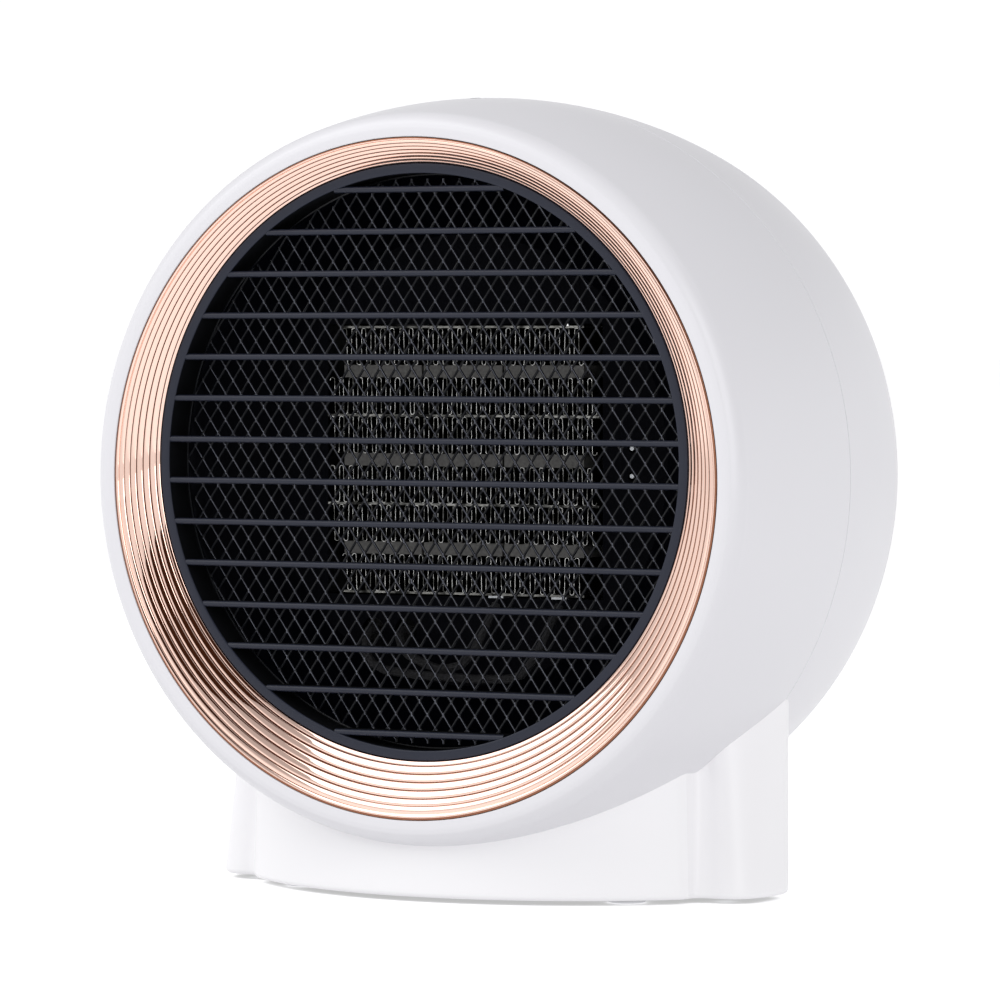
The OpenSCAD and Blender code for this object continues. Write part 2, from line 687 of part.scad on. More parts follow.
module impeller() color("#3b3e45") difference() {
    union() {
        rod_y(0, hub_y, air_h, hub_r, hub_len);
        intersection() {
            for (i = [0:blade_count - 1]) translate([0, hub_y + hub_len / 2, air_h])
                rotate([0, i * 360 / blade_count, 0]) rotate([blade_pitch, 0, 0])
                    translate([0, -blade_t / 2, -13]) cube([blade_r + 5, blade_t, 26]);
            tube_y(hub_y + 1, air_h, hub_r - 2, blade_r, hub_len - 2);
        }
    }
    // Cup of the hub, open to the rear, with the boss that grips the shaft
    tube_y(hub_y + 2, air_h, 4, hub_r - 1.6, hub_len);
    rod_y(0, hub_y - 1, air_h, shaft_r, hub_len + 2);
}

module impeller_nut() color("#c8a24e") difference() {
    along_y(hub_y - 2.4, air_h) cylinder(r = 3.4, h = 2.4, $fn = 6);
    rod_y(0, hub_y - 5, air_h, shaft_r, 10);
}

module motor_screws() color(steel) polar_y(air_h, motor_hole_at, [0, 180])
    translate([0, duct_back, 0]) rotate([-90, 0, 0]) {
        translate([0, 0, -1.4]) cylinder(r = 2.4, h = 1.4);
        translate([0, 0, -eps]) cylinder(r = 1.2, h = bracket_t + 3);
    }

module duct_screws() color(steel) polar_y(air_h, fastener_r, fastener_angles)
    translate([0, duct_back - 2.5, 0]) rotate([-90, 0, 0]) cross_screw(12);

module funnel_screws() color(steel) polar_y(axis_h, funnel_boss_r, funnel_angles)
    translate([0, funnel_y + lug_t, 0]) rotate([90, 0, 0]) cross_screw(5.5);

module shell_screws() color(steel) polar_y(axis_h, well_at, well_angles)
    translate([0, well_seat, 0]) rotate([90, 0, 0]) cross_screw(15);

module stand_screws() color(steel) for (p = stand_screws_at)
    translate([p[0], p[1], belly_at(p[0], p[1]) - 6.5]) cross_screw(stand_screw_len - 2);

module plate_screws() color(steel) for (p = plate_screws_at)
    translate([p[0], p[1], base_z + 0.6]) difference() {
        union() {
            translate([0, 0, -0.6]) cylinder(r = 2.6, h = 0.6);
            cylinder(r = screw_r, h = plate_base_t + 7);
        }
        for (a = [0, 90]) rotate(a) translate([-1.6, -0.35, -1.6]) cube([3.2, 0.7, 1.4]);
    }

// ---- Rear grille: concentric rings joined by spokes, set in the rear wall ----
module rear_grille() color(white) {
    y = rear_depth - intake_t;
    tube_y(y, air_h, intake_r - intake_rim, intake_r, intake_t);
    tube_y(y - 2, air_h, intake_r - intake_rim, intake_r + 2.5, 2);
    for (r = [intake_pitch + 4:intake_pitch:intake_r - intake_rim - 2])
        tube_y(y + 0.4, air_h, r - intake_ring_w / 2, r + intake_ring_w / 2, intake_t - 0.8);
    rod_y(0, y, air_h, 6, intake_t - 0.2);
    for (a = [22.5:45:359]) translate([0, 0, air_h]) rotate([0, -a, 0])
        translate([5, y + 0.3, -1]) cube([intake_r - intake_rim - 4, intake_t - 0.6, 2]);
}

// ---- Push button, boards and indicator ----
module control_button() color(white) {
    difference() {
        intersection() {
            translate([0, button_y, axis_h + body_r - 12]) cylinder(r = button_r, h = 30);
            body_solid();
        }
        difference() {
            translate([0, button_y, axis_h + body_r - 13])
                cylinder(r = button_r - 1.8, h = 30);
            difference() {
                translate([0, button_y, axis_h]) cylinder(r = button_r, h = 200);
                body_solid(button_skin);
            }
        }
    }
    // Retaining lip under the shell and the stem that works the switch
    translate([0, button_y, axis_h + body_r - 12]) difference() {
        cylinder(r = button_r + button_lip, h = 1.4);
        translate([0, 0, -1]) cylinder(r = button_r - 1.8, h = 4);
    }
    intersection() {
        translate([0, button_y, stem_end]) cylinder(r = 2.6, h = 40);
        body_solid(button_skin / 2);
    }
}

module button_board() color(board_green) difference() {
    translate([-board_w / 2, board_front_y, board_z])
        cube([board_w, board_back_y - board_front_y, board_t]);
    for (p = board_posts) translate([p[0], button_y + p[1], board_z - 1])
        cylinder(r = board_hole_r, h = 4);
}

// Small screws: the control board hangs under its posts, the power board lies on top of its own
module small_screw(len) {
    translate([0, 0, -1.2]) cylinder(r = 2, h = 1.2);
    translate([0, 0, -eps]) cylinder(r = board_screw_r, h = len + eps);
}
module board_screws() color(steel) {
    for (p = board_posts) translate([p[0], button_y + p[1], board_z]) small_screw(board_t + 5);
    for (p = power_posts) translate([p[0], power_y + p[1], power_z + board_t]) mirror([0, 0, 1])
        small_screw(board_t + 5);
}

module tact_switch() color("#2a2c31") translate([0, button_y, board_z + board_t]) {
    translate([-3, -3, 0]) cube([6, 6, 2.2]);
    cylinder(r = 1.7, h = 3.1);
}

module indicator_lens() color("#e6e0d2") intersection() {
    translate([0, -indicator_y, 0]) {
        translate([0, 0, axis_h + body_r - 8]) cylinder(r = indicator_d / 2, h = 12);
        translate([0, 0, axis_h + body_r - 8]) cylinder(r = indicator_d / 2 + 1, h = 2);
    }
    body_solid();
}

led_z = axis_h + body_r - 14;
module indicator_led() color("#f0ece2") translate([0, -indicator_y, led_z])  {
    cylinder(r = 1.9, h = 1.2);
    cylinder(r = 1.5, h = 5);
    for (x = [-1.27, 1.27]) translate([x - 0.25, -0.25, board_z + board_t - led_z])
        cube([0.5, 0.5, led_z - board_z - board_t + 0.1]);
}

module power_board() color(board_green) difference() {
    translate([-power_w / 2, power_y - power_d / 2, power_z]) cube([power_w, power_d, board_t]);
    for (p = power_posts) translate([p[0], power_y + p[1], power_z - 1])
        cylinder(r = board_hole_r, h = 4);
}

module relay() color("#2b5ea8") translate([-20, power_y - 8, power_z + board_t])
    cube([19, 15.5, 14]);

module capacitor() color("#c9a13b") translate([4, power_y - 9, power_z + board_t])
    cube([17, 7, 12]);

module terminal_block() color("#3a8a5f") translate([4, power_y + 2, power_z + board_t])
    difference() {
        cube([15, 8, 9]);
        for (x = [3.7, 11.3]) translate([x, 5, 4]) cylinder(r = 1.8, h = 10);
    }

// ---- Cord gland: a bush with a flange on the rear pad ----
module cord_gland() color(black) difference() {
    union() {
        rod_y(0, gland_pad_y - gland_len, axis_h - gland_down, gland_r, gland_len + eps);
        rod_y(0, gland_pad_y, axis_h - gland_down, gland_flange_r, gland_flange_t);
    }
    rod_y(0, gland_pad_y - 20, axis_h - gland_down, gland_bore_d / 2, 40);
}

// ---- Tip-over switch, with its plunger pushed in by the table ----
module tip_plunger() color("#d9d9dc") translate([plunger_at[0], plunger_at[1], 0]) {
    cylinder(r = plunger_r, h = plunger_len);
    translate([0, 0, plate_top + plunger_travel + 0.1])
        cylinder(r = plunger_flange_r, h = plunger_flange_t);
}

module tip_switch() color("#26282d") translate([plunger_at[0], plunger_at[1], plate_top + 7.2]) {
    translate([-switch_len / 2, -3.2, 0]) cube([switch_len, 6.4, switch_h]);
    for (x = [-5, 0, 5]) translate([x - 1.2, -0.25, switch_h - 0.1]) cube([2.4, 0.5, 3]);
}

// ---- Wires: tubes swept along hand-laid points ----
wire_r = 1.1;
lead_holes = [-16, -25];
port_x = -20.5;
port_y = frame_y + 10;
port_r = 6;
lead_z = ptc_bottom - 9;
block_top = power_z + board_t + 9;
function lead(k) = let (
    tx = terminal_x[k], hx = lead_holes[k], px = port_x + (k == 0 ? 2.4 : -2.4), bend = 3 + 2 * k)
    [[tx, ptc_y - 1.2, ptc_bottom - 2], [tx - 0.5, ptc_y - 2.6, ptc_bottom - 4],
    [tx - 5, ptc_y - 3 - bend, lead_z - 4 - bend], [tx - 12, ptc_y - 3 - bend, lead_z - 6 - bend],
    [hx + 10, ptc_y - 3 - bend, lead_z - 5 - bend], [hx + 3, ptc_y - 3 - bend, lead_z - 2 - bend],
    [hx, ptc_y - 3, lead_z], [hx, frame_y + 4, lead_z], [px, port_y, lead_z - 2],
    [px, port_y, air_h - duct_out_r - 4], [px + 4, port_y + 8 + 5 * k, air_h - duct_out_r - 6],
    [4 - 6 * k, power_y - 15 + 4 * k, block_top + 7 + k], [15.3 - 7.6 * k, power_y, block_top + 6],
    [15.3 - 7.6 * k, power_y + 7, block_top + 4], [15.3 - 7.6 * k, power_y + 7, block_top - 3]];
leads = [lead(0), lead(1)];
motor_end = bracket_back + motor_len;
function motor_wire(k) = let (x = k == 0 ? 8 : -8, e = 5 * k)
    [[x, motor_end + 0.3, air_h], [x, motor_end + 2.6, air_h - 1], [x, motor_end + 3.4, air_h - 8],
    [x + 4, motor_end + 3, air_h - 22], [14 - 0.8 * e, motor_end - 3, air_h - 40],
    [19 - 0.8 * e, motor_end - 10, axis_h - 50], [23 - 0.8 * e, power_y + 18, power_z + 22],
    [25, power_y + 6 - e, power_z + 13], [25, power_y + 4 - e, power_z + board_t + 0.3]];
motor_wires = [motor_wire(0), motor_wire(1)];
wire_sides = 8;

// Smooths a list of points by cutting its corners
function rounded(p) = concat([p[0]],
    [for (i = [1:len(p) - 2]) each [p[i] * 0.75 + p[i - 1] * 0.25, p[i] * 0.75 + p[i + 1] * 0.25]],
    [p[len(p) - 1]]);
function tangent(p, i) = unit(p[min(i + 1, len(p) - 1)] - p[max(i - 1, 0)]);
function ring_at(p, i, r) = let (t = tangent(p, i), u = unit(cross(t, [0.6, -0.55, 0.58])),
    v = cross(t, u))
    [for (k = [0:wire_sides - 1]) let (a = 360 * k / wire_sides) p[i] + r * (u * cos(a) + v * sin(a))];
module wire(p, r) {
    n = len(p);
    polyhedron(
        points = [for (i = [0:n - 1]) each ring_at(p, i, r)],
        faces = concat(
            [[for (k = [wire_sides - 1:-1:0]) k]],
            [for (i = [0:n - 2], k = [0:wire_sides - 1]) let (a = i * wire_sides,
                b = (k + 1) % wire_sides) each [[a + k, a + b, a + wire_sides + b],
                [a + k, a + wire_sides + b, a + wire_sides + k]]],
            [[for (k = [0:wire_sides - 1]) (n - 1) * wire_sides + k]]));
}

module heater_leads() color("#d8d2c4") for (p = leads) wire(rounded(p), wire_r);
module motor_leads() color("#b5463c") for (p = motor_wires) wire(rounded(p), wire_r);

placed() front_shell();
placed() rear_shell();
placed() base_stand();
placed() base_plate();
placed() rubber_feet();
placed() trim_ring();
placed() front_grille();
placed() guard_mesh();
placed() outlet_funnel();
placed() ptc_frame();
placed() ptc_fins();
placed() ptc_ceramics();
placed() ptc_plates();
placed() ptc_terminals();
placed() thermostat();
placed() thermostat_screws();
placed() thermal_fuse();
placed() air_duct();
placed() impeller();
placed() impeller_nut();
placed() motor_shaft();
placed() motor_can();
placed() motor_bushes();
placed() motor_bracket();
placed() motor_screws();
placed() duct_screws();
placed() funnel_screws();
placed() shell_screws();
placed() stand_screws();
placed() plate_screws();
placed() rear_grille();
placed() control_button();
placed() button_board();
placed() board_screws();
placed() tact_switch();
placed() indicator_lens();
placed() indicator_led();
placed() power_board();
placed() relay();
placed() capacitor();
placed() terminal_block();
placed() cord_gland();
placed() tip_plunger();
placed() tip_switch();
placed() heater_leads();
placed() motor_leads();
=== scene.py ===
import bpy
import bmesh
import random
import numpy as np
from math import asin, atan2, ceil, cos, degrees, pi, radians, sin, sqrt, tau
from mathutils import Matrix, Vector


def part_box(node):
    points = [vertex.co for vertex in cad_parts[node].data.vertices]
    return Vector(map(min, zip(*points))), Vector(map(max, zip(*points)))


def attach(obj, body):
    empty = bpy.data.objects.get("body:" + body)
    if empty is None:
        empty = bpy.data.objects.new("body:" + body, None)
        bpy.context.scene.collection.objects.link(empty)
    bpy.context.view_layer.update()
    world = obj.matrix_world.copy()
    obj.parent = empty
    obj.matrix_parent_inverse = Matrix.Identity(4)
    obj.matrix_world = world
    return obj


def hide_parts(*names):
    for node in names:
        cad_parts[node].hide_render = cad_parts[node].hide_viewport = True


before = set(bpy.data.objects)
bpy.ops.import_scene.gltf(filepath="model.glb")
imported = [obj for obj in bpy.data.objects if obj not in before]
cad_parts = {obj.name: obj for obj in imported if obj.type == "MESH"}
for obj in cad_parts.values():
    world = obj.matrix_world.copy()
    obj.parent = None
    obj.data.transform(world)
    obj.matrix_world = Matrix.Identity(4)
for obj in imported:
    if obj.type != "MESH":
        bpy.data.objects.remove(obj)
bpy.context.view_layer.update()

# ---- Camera ----
# A long lens a little above the middle of the heater, looking at it from the right of the front.
# The heater is measured in millimetres from the middle of its widest section: x to the right,
# y to the rear and z up. world_place() turns those into metres in the row's frame.
mm = 0.001
ring_low, ring_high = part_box("trim_ring")
ring_ahead = 48.6
middle_y = ring_low.y + ring_ahead * mm
middle_z = (ring_low.z + ring_high.z) / 2


def world_place(x, y, z):
    """A place of the heater, in millimetres, as the frame's metres."""
    return Vector((x * mm, middle_y + y * mm, middle_z + z * mm))


view_turn, view_lift, view_distance, focal_length = radians(27.41), radians(1.725), 1338.4, 196.7
camera_data = bpy.data.cameras.new("studio_camera")
camera_data.lens = focal_length
camera_data.sensor_width = 36.0
camera = bpy.data.objects.new("studio_camera", camera_data)
bpy.context.scene.collection.objects.link(camera)
look_at = world_place(0, 0, -6.2)
camera.location = look_at + view_distance * mm * Vector(
    (sin(view_turn) * cos(view_lift), -cos(view_turn) * cos(view_lift), sin(view_lift)))
camera.rotation_euler = (look_at - camera.location).to_track_quat("-Z", "Y").to_euler()
camera_data.clip_start, camera_data.clip_end = 0.05, 60.0
bpy.context.scene.camera = camera


# ---- Floor, room and lamps ----
# A white table top that runs off into a pale room which is brightest near the horizon. A large
# softbox stands high at the front left, a weaker one at the right. Dark cards, seen only in
# reflections, stand where a product studio is unlit: the plated ring mirrors them as brown.
def linear(code):
    """A colour as the four linear numbers Blender wants, from its sRGB hex code."""
    parts = [int(code[i:i + 2], 16) / 255 for i in (1, 3, 5)]
    return [p / 12.92 if p <= 0.04045 else ((p + 0.055) / 1.055) ** 2.4 for p in parts] + [1.0]


def add(tree, kind, settings=None, sockets=None):
    """Adds one node, with its settings, and the value or the link that each of its sockets takes."""
    node = tree.nodes.new(kind)
    for name, value in (settings or {}).items():
        setattr(node, name, value)
    for name, value in (sockets or {}).items():
        if isinstance(value, bpy.types.NodeSocket):
            tree.links.new(value, node.inputs[name])
        else:
            node.inputs[name].default_value = value
    return node


def new_finish(name):
    """An empty material with its output, its shader and a set of places on the piece in metres."""
    finish = bpy.data.materials.new(name)
    finish.use_nodes = True
    tree = finish.node_tree
    tree.nodes.clear()
    shader = add(tree, "ShaderNodeBsdfPrincipled")
    add(tree, "ShaderNodeOutputMaterial", sockets={"Surface": shader.outputs["BSDF"]})
    places = add(tree, "ShaderNodeTexCoord")
    return finish, tree, shader, places.outputs["Object"]


table_white, tree, shader, places = new_finish("table_top_matt_white_laminate")
shader.inputs["Base Color"].default_value = linear("#f3f3f4")
shader.inputs["Roughness"].default_value = 0.8
shader.inputs["Specular IOR Level"].default_value = 0.1
shader.inputs["Emission Color"].default_value = linear("#ffffff")
shader.inputs["Emission Strength"].default_value = 0.50
table_half, under_feet = 30, 0.0002
floor_mesh = bpy.data.meshes.new("table_top")
floor_mesh.from_pydata([(x * table_half, y * table_half, 0) for x, y in ((-1, -1), (1, -1), (1, 1), (-1, 1))],
                       [], [(0, 1, 2, 3)])
floor_mesh.materials.append(table_white)
table_top = bpy.data.objects.new("table_top", floor_mesh)
table_top.location.z = -under_feet
bpy.context.scene.collection.objects.link(table_top)
table_top.visible_diffuse = False

room = bpy.data.worlds.new("pale_room")
bpy.context.scene.world = room
room.use_nodes = True
tree = room.node_tree
toward = add(tree, "ShaderNodeTexCoord")
parts_of = add(tree, "ShaderNodeSeparateXYZ", {}, {"Vector": toward.outputs["Generated"]})
height = add(tree, "ShaderNodeMapRange", {}, {"Value": parts_of.outputs["Z"], "From Min": -1.0,
                                              "From Max": 1.0, "To Min": 0.0, "To Max": 1.0})
wall_light = add(tree, "ShaderNodeValToRGB", {}, {"Fac": height.outputs["Result"]})
ramp = wall_light.color_ramp
ramp.elements[0].position, ramp.elements[0].color = 0.0, (0.76, 0.76, 0.78, 1)
ramp.elements[1].position, ramp.elements[1].color = 0.98, (0.48, 0.48, 0.49, 1)
for place, level in ((0.36, 0.78), (0.46, 1.06), (0.57, 1.06), (0.69, 0.58)):
    ramp.elements.new(place).color = (level, level, level * 1.01, 1)
tree.links.new(wall_light.outputs["Color"], tree.nodes["Background"].inputs["Color"])
tree.nodes["Background"].inputs["Strength"].default_value = 1.0


aim = Vector((0, 0, 0.1))


def compass(turn, lift, reach):
    """A place from its bearing to the right of the front, its height angle and its distance."""
    t, e = radians(turn), radians(lift)
    return aim + reach * Vector((sin(t) * cos(e), -cos(t) * cos(e), sin(e)))


def softbox(name, turn, lift, reach, width, height, power):
    """A rectangular lamp of width by height metres, turned to the heater's middle."""
    lamp = bpy.data.lights.new(name, "AREA")
    lamp.shape = "RECTANGLE"
    lamp.size, lamp.size_y = width, height
    lamp.energy = power
    holder = bpy.data.objects.new(name, lamp)
    holder.location = compass(turn, lift, reach)
    holder.rotation_euler = (aim - holder.location).to_track_quat("-Z", "Y").to_euler()
    holder.visible_camera = False
    bpy.context.scene.collection.objects.link(holder)


def dark_card(name, turn_0, turn_1, lift_0, lift_1):
    """A curved dark card, 3 m off, that only shows in reflections."""
    reach, steps = 3, 8
    row = steps + 1
    places = [compass(turn_0 + (turn_1 - turn_0) * i / steps, lift_0 + (lift_1 - lift_0) * j / steps, reach)
              for i in range(row) for j in range(row)]
    corners = [i * row + j for i in range(steps) for j in range(steps)]
    mesh = bpy.data.meshes.new(name)
    mesh.from_pydata(places, [], [(k, k + 1, k + row + 1, k + row) for k in corners])
    mesh.materials.append(card_brown)
    card = bpy.data.objects.new(name, mesh)
    bpy.context.scene.collection.objects.link(card)
    card.visible_camera = card.visible_diffuse = card.visible_shadow = False
    card.visible_transmission = False


card_brown, tree, shader, places = new_finish("card_matt_dark_brown")
shader.inputs["Base Color"].default_value = linear("#0a0908")
shader.inputs["Roughness"].default_value = 0.9
shader.inputs["Specular IOR Level"].default_value = 0.0
shader.inputs["Emission Color"].default_value = linear("#ffa26c")
shader.inputs["Emission Strength"].default_value = 0.045
softbox("softbox_front_left", -45, 42, 1.5, 1.3, 1.3, 10)
softbox("softbox_right", 54, 18, 1.7, 0.5, 1.1, 5)
dark_card("card_behind_camera", 0, 42, 12, 58)
dark_card("card_overhead", -180, 180, 68, 90)
dark_card("card_right", 72, 110, 5, 56)
bpy.context.scene.view_settings.view_transform = "Standard"


# ---- Front shell ----
# The front half of the barrel, injection moulded in white ABS with a satin gloss. A flat bezel
# round the trim ring breaks over a crease into the rounded rim, and a small hole on top takes
# the indicator window. The mesh keeps the wall thickness and rounds every moulded edge.
def make_piece(name, places, faces, finish, body="heater", crisp=35):
    """One piece from its corners in millimetres and its faces, with its finish, on its body."""
    mesh = bpy.data.meshes.new(name)
    mesh.from_pydata([world_place(*p) for p in places], [], faces)
    work = bmesh.new()
    work.from_mesh(mesh)
    bmesh.ops.recalc_face_normals(work, faces=work.faces)
    work.to_mesh(mesh)
    work.free()
    mesh.materials.append(finish)
    mesh.shade_smooth()
    mesh.set_sharp_from_angle(angle=radians(crisp))
    piece = bpy.data.objects.new(name, mesh)
    bpy.context.scene.collection.objects.link(piece)
    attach(piece, body)
    return piece


def rows_to_faces(rows, columns, row_loop, column_loop, start=0):
    """The quads of a grid of places that are stored row after row."""
    faces = []
    for i in range(rows if row_loop else rows - 1):
        for j in range(columns if column_loop else columns - 1):
            a, b = i * columns, (i + 1) % rows * columns
            k = (j + 1) % columns
            faces.append((start + a + j, start + a + k, start + b + k, start + b + j))
    return faces


def turned(outline, turns=256, up=0.0, across=0.0):
    """A closed outline of (radius, y) turned about a front-to-back line."""
    places = []
    for t in range(turns):
        c, s = cos(tau * t / turns), sin(tau * t / turns)
        places += [(across + r * c, y, up + r * s) for r, y in outline]
    return places, rows_to_faces(turns, len(outline), True, True)


def bend(cx, cy, r, start, end, steps):
    """Places along an arc, its angles in degrees."""
    return [(cx + r * cos(radians(start + (end - start) * i / steps)),
             cy + r * sin(radians(start + (end - start) * i / steps))) for i in range(steps + 1)]


def rounded_box(low_r, high_r, low_y, high_y, edge, steps=3):
    """A rectangle in (radius, y) with its four corners rounded."""
    return (bend(high_r - edge, high_y - edge, edge, 0, 90, steps)
            + bend(low_r + edge, high_y - edge, edge, 90, 180, steps)
            + bend(low_r + edge, low_y + edge, edge, 180, 270, steps)
            + bend(high_r - edge, low_y + edge, edge, 270, 360, steps))


half_width = (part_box("front_shell")[1].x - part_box("front_shell")[0].x) / 2 / mm
ring_outer = (ring_high.x - ring_low.x) / 2 / mm
rear_wall = (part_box("rear_shell")[1].y - middle_y) / mm
bezel_y, rim_r, barrel_r, rear_r, wall, seam = -48.0, 6.0, 205.0, 38.0, 2.5, 4.0
bezel_sweep = 64
barrel_x = half_width - barrel_r
rim_y = bezel_y + rim_r * sin(radians(bezel_sweep))
rim_x = barrel_x + sqrt((barrel_r - rim_r) ** 2 - rim_y ** 2)
rear_y = rear_wall - rear_r
rear_x = barrel_x + sqrt((barrel_r - rear_r) ** 2 - rear_y ** 2)
rim_turn = degrees(asin(rim_y / (barrel_r - rim_r)))
rear_turn = degrees(asin(rear_y / (barrel_r - rear_r)))
crease = rim_x + rim_r * cos(radians(bezel_sweep))


def barrel_radius(y):
    """Outer radius of the body at the distance y behind its widest section."""
    if y > rear_y + rear_r * sin(radians(rear_turn)):
        return rear_x + sqrt(max(rear_r ** 2 - (y - rear_y) ** 2, 0))
    return barrel_x + sqrt(barrel_r ** 2 - y * y)


def dome_y(radius):
    """How far back the rear dome lies at a radius from the body's axis."""
    if radius <= rear_x:
        return rear_wall
    return rear_y + sqrt(max(rear_r ** 2 - (radius - rear_x) ** 2, 0))


def skin_normal(p):
    """The true outward direction of the body's skin at a place that lies on it, or None."""
    r = sqrt(p[0] ** 2 + p[2] ** 2)
    y = p[1]
    if y < bezel_y + 0.9 or r < rear_x + 0.05:
        return None
    if y > rear_y + rear_r * sin(radians(rear_turn)):
        nr, ny, off = r - rear_x, y - rear_y, rear_r
    elif y < rim_y + rim_r * sin(radians(rim_turn)):
        nr, ny, off = r - rim_x, y - rim_y, rim_r
    else:
        nr, ny, off = r - barrel_x, y, barrel_r
    size = sqrt(nr * nr + ny * ny)
    if abs(size - off) > 0.02:
        return None
    return Vector((nr / size * p[0] / r, ny / size, nr / size * p[2] / r))


def true_skin(piece):
    """Gives the body's skin its exact normals, so that cuts in it leave no trace in the gloss."""
    mesh = piece.data
    spots = [((v.co.x / mm), (v.co.y - middle_y) / mm, (v.co.z - middle_z) / mm)
             for v in mesh.vertices]
    exact = [skin_normal(p) for p in spots]
    normals = [None] * len(mesh.loops)
    for face in mesh.polygons:
        for k in face.loop_indices:
            n = exact[mesh.loops[k].vertex_index]
            own = Vector(mesh.corner_normals[k].vector)
            normals[k] = n if n is not None and n.dot(face.normal) > 0.94 else own
    mesh.normals_split_custom_set(normals)


def cut_away(piece, plugs):
    """Cuts a set of plugs, given as rings of places, out of a piece in one go."""
    places, faces = [], []
    for rings in plugs:
        start, turns = len(places), len(rings[0])
        places += [p for ring in rings for p in ring]
        faces += rows_to_faces(len(rings), turns, False, True, start)
        faces.append(tuple(start + k for k in reversed(range(turns))))
        faces.append(tuple(start + (len(rings) - 1) * turns + k for k in range(turns)))
    plug = make_piece("plugs", places, faces, abs_white)
    cut = piece.modifiers.new("cut", "BOOLEAN")
    cut.operation, cut.object, cut.solver = "DIFFERENCE", plug, "EXACT"
    bpy.context.view_layer.update()
    done = bpy.data.meshes.new_from_object(
        piece.evaluated_get(bpy.context.evaluated_depsgraph_get()))
    piece.modifiers.clear()
    piece.data = done
    done.shade_smooth()
    done.set_sharp_from_angle(angle=radians(30))
    bpy.data.objects.remove(plug)


def circle(x, y, r, turns):
    """Places round a circle."""
    return [(x + r * cos(tau * k / turns), y + r * sin(tau * k / turns)) for k in range(turns)]


def mouth_rings(ring_at, inner, outer, edge):
    """A plug's rings: its inner end, the hole's rounded mouth on the skin, and its outer end."""
    rings = [ring_at(0, 0, inner)]
    for i in range(6):
        a = radians(18 * i)
        rings.append(ring_at(edge * (1 - cos(a)), edge * (1 - sin(a))))
    return rings + [ring_at(edge * 1.4, -edge), ring_at(edge * 1.4, 0, outer)]


def down_plug(x, y, r, depth, edge, turns=96):
    """A plug for an upright hole in the top of the body, with a rounded mouth on the curved skin."""
    def ring_at(out, drop, level=None):
        return [(px, py, sqrt(barrel_radius(py) ** 2 - px * px) - drop if level is None else level)
                for px, py in circle(x, y, r + out, turns)]
    return mouth_rings(ring_at, barrel_radius(y) - depth, barrel_radius(y) + 6, edge)


def cloudy_gloss(tree, shader, places, per_metre, detail, smooth, dull, low=0.3, high=0.7):
    """Clouds, so many a metre, between a smooth and a dull roughness; gives back their pattern."""
    clouds = add(tree, "ShaderNodeTexNoise", {}, {"Vector": places, "Scale": per_metre, "Detail": detail})
    gloss = add(tree, "ShaderNodeMapRange", {}, {"Value": clouds.outputs["Fac"], "From Min": low,
                                                "From Max": high, "To Min": smooth, "To Max": dull})
    tree.links.new(gloss.outputs["Result"], shader.inputs["Roughness"])
    return clouds.outputs["Fac"]


def satin_abs(name, colour, smooth, dull):
    """Acrylonitrile butadiene styrene from a fine-blasted mould: a soft sheen over a very slight
    orange peel about 0.7 mm across, and faint changes of gloss some 20 mm across."""
    finish, tree, shader, places = new_finish(name)
    shader.inputs["Base Color"].default_value = linear(colour)
    shader.inputs["IOR"].default_value = 1.52
    cloudy_gloss(tree, shader, places, 45.0, 3.0, smooth, dull)
    peel = add(tree, "ShaderNodeTexNoise", {}, {"Vector": places, "Scale": 1400.0, "Detail": 2.0})
    bumps = add(tree, "ShaderNodeBump", {}, {"Height": peel.outputs["Fac"], "Strength": 0.06,
                                           "Distance": 0.1 * mm})
    tree.links.new(bumps.outputs["Normal"], shader.inputs["Normal"])
    return finish


abs_white = satin_abs("moulded_ABS_satin_white", "#e6e5e9", 0.30, 0.36)

pocket, pocket_floor, mouth_edge = ring_outer + 0.15, -41.0, 0.3
skin_line = bend(rim_x, rim_y, rim_r, -bezel_sweep, rim_turn, 14)[1:] \
    + bend(barrel_x, 0, barrel_r, rim_turn, degrees(asin((seam - 0.5) / barrel_r)), 40)[1:]
edge_r = barrel_radius(seam)
# Both shells round off towards the joint line: how deep under the skin, how far short of the line.
joint_edge = ((0.02, 0.28), (0.12, 0.14), (0.3, 0.08))
outline = [(pocket, pocket_floor), (pocket, bezel_y + mouth_edge)] \
    + bend(pocket + mouth_edge, bezel_y + mouth_edge, mouth_edge, 180, 270, 4)[1:] \
    + [(crease - 0.9, bezel_y), (crease - 0.45, bezel_y + 0.03), (crease - 0.05, bezel_y + 0.16)] \
    + skin_line + [(edge_r - deep, seam - short) for deep, short in joint_edge] \
    + [(edge_r - wall, seam - 0.08)]
outline += [(barrel_radius(y) - wall, y) for y in (-10, -25, -36, pocket_floor + 0.1)]
places, faces = turned(outline, turns=360)
front_shell = make_piece("shell_front", places, faces, abs_white)
window_y, window_hole = -13, 1.6
cut_away(front_shell, [down_plug(0, window_y, window_hole, 6, 0.25, 48)])
true_skin(front_shell)
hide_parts("front_shell")

# ---- Rear shell ----
# The rear half of the barrel, moulded in the same ABS, closed by a rounded dome. It carries the
# round intake opening, four deep screw wells, the hole of the push button and the cord's seat.
def back_plug(x, z, r, bottom, edge, turns=96):
    """A plug for a hole that runs forward into the dome, with a rounded mouth on the dome."""
    def ring_at(out, drop, level=None):
        return [(px, dome_y(sqrt(px * px + pz * pz)) - drop if level is None else level, pz)
                for px, pz in circle(x, z, r + out, turns)]
    return mouth_rings(ring_at, bottom, rear_wall + 8, edge)


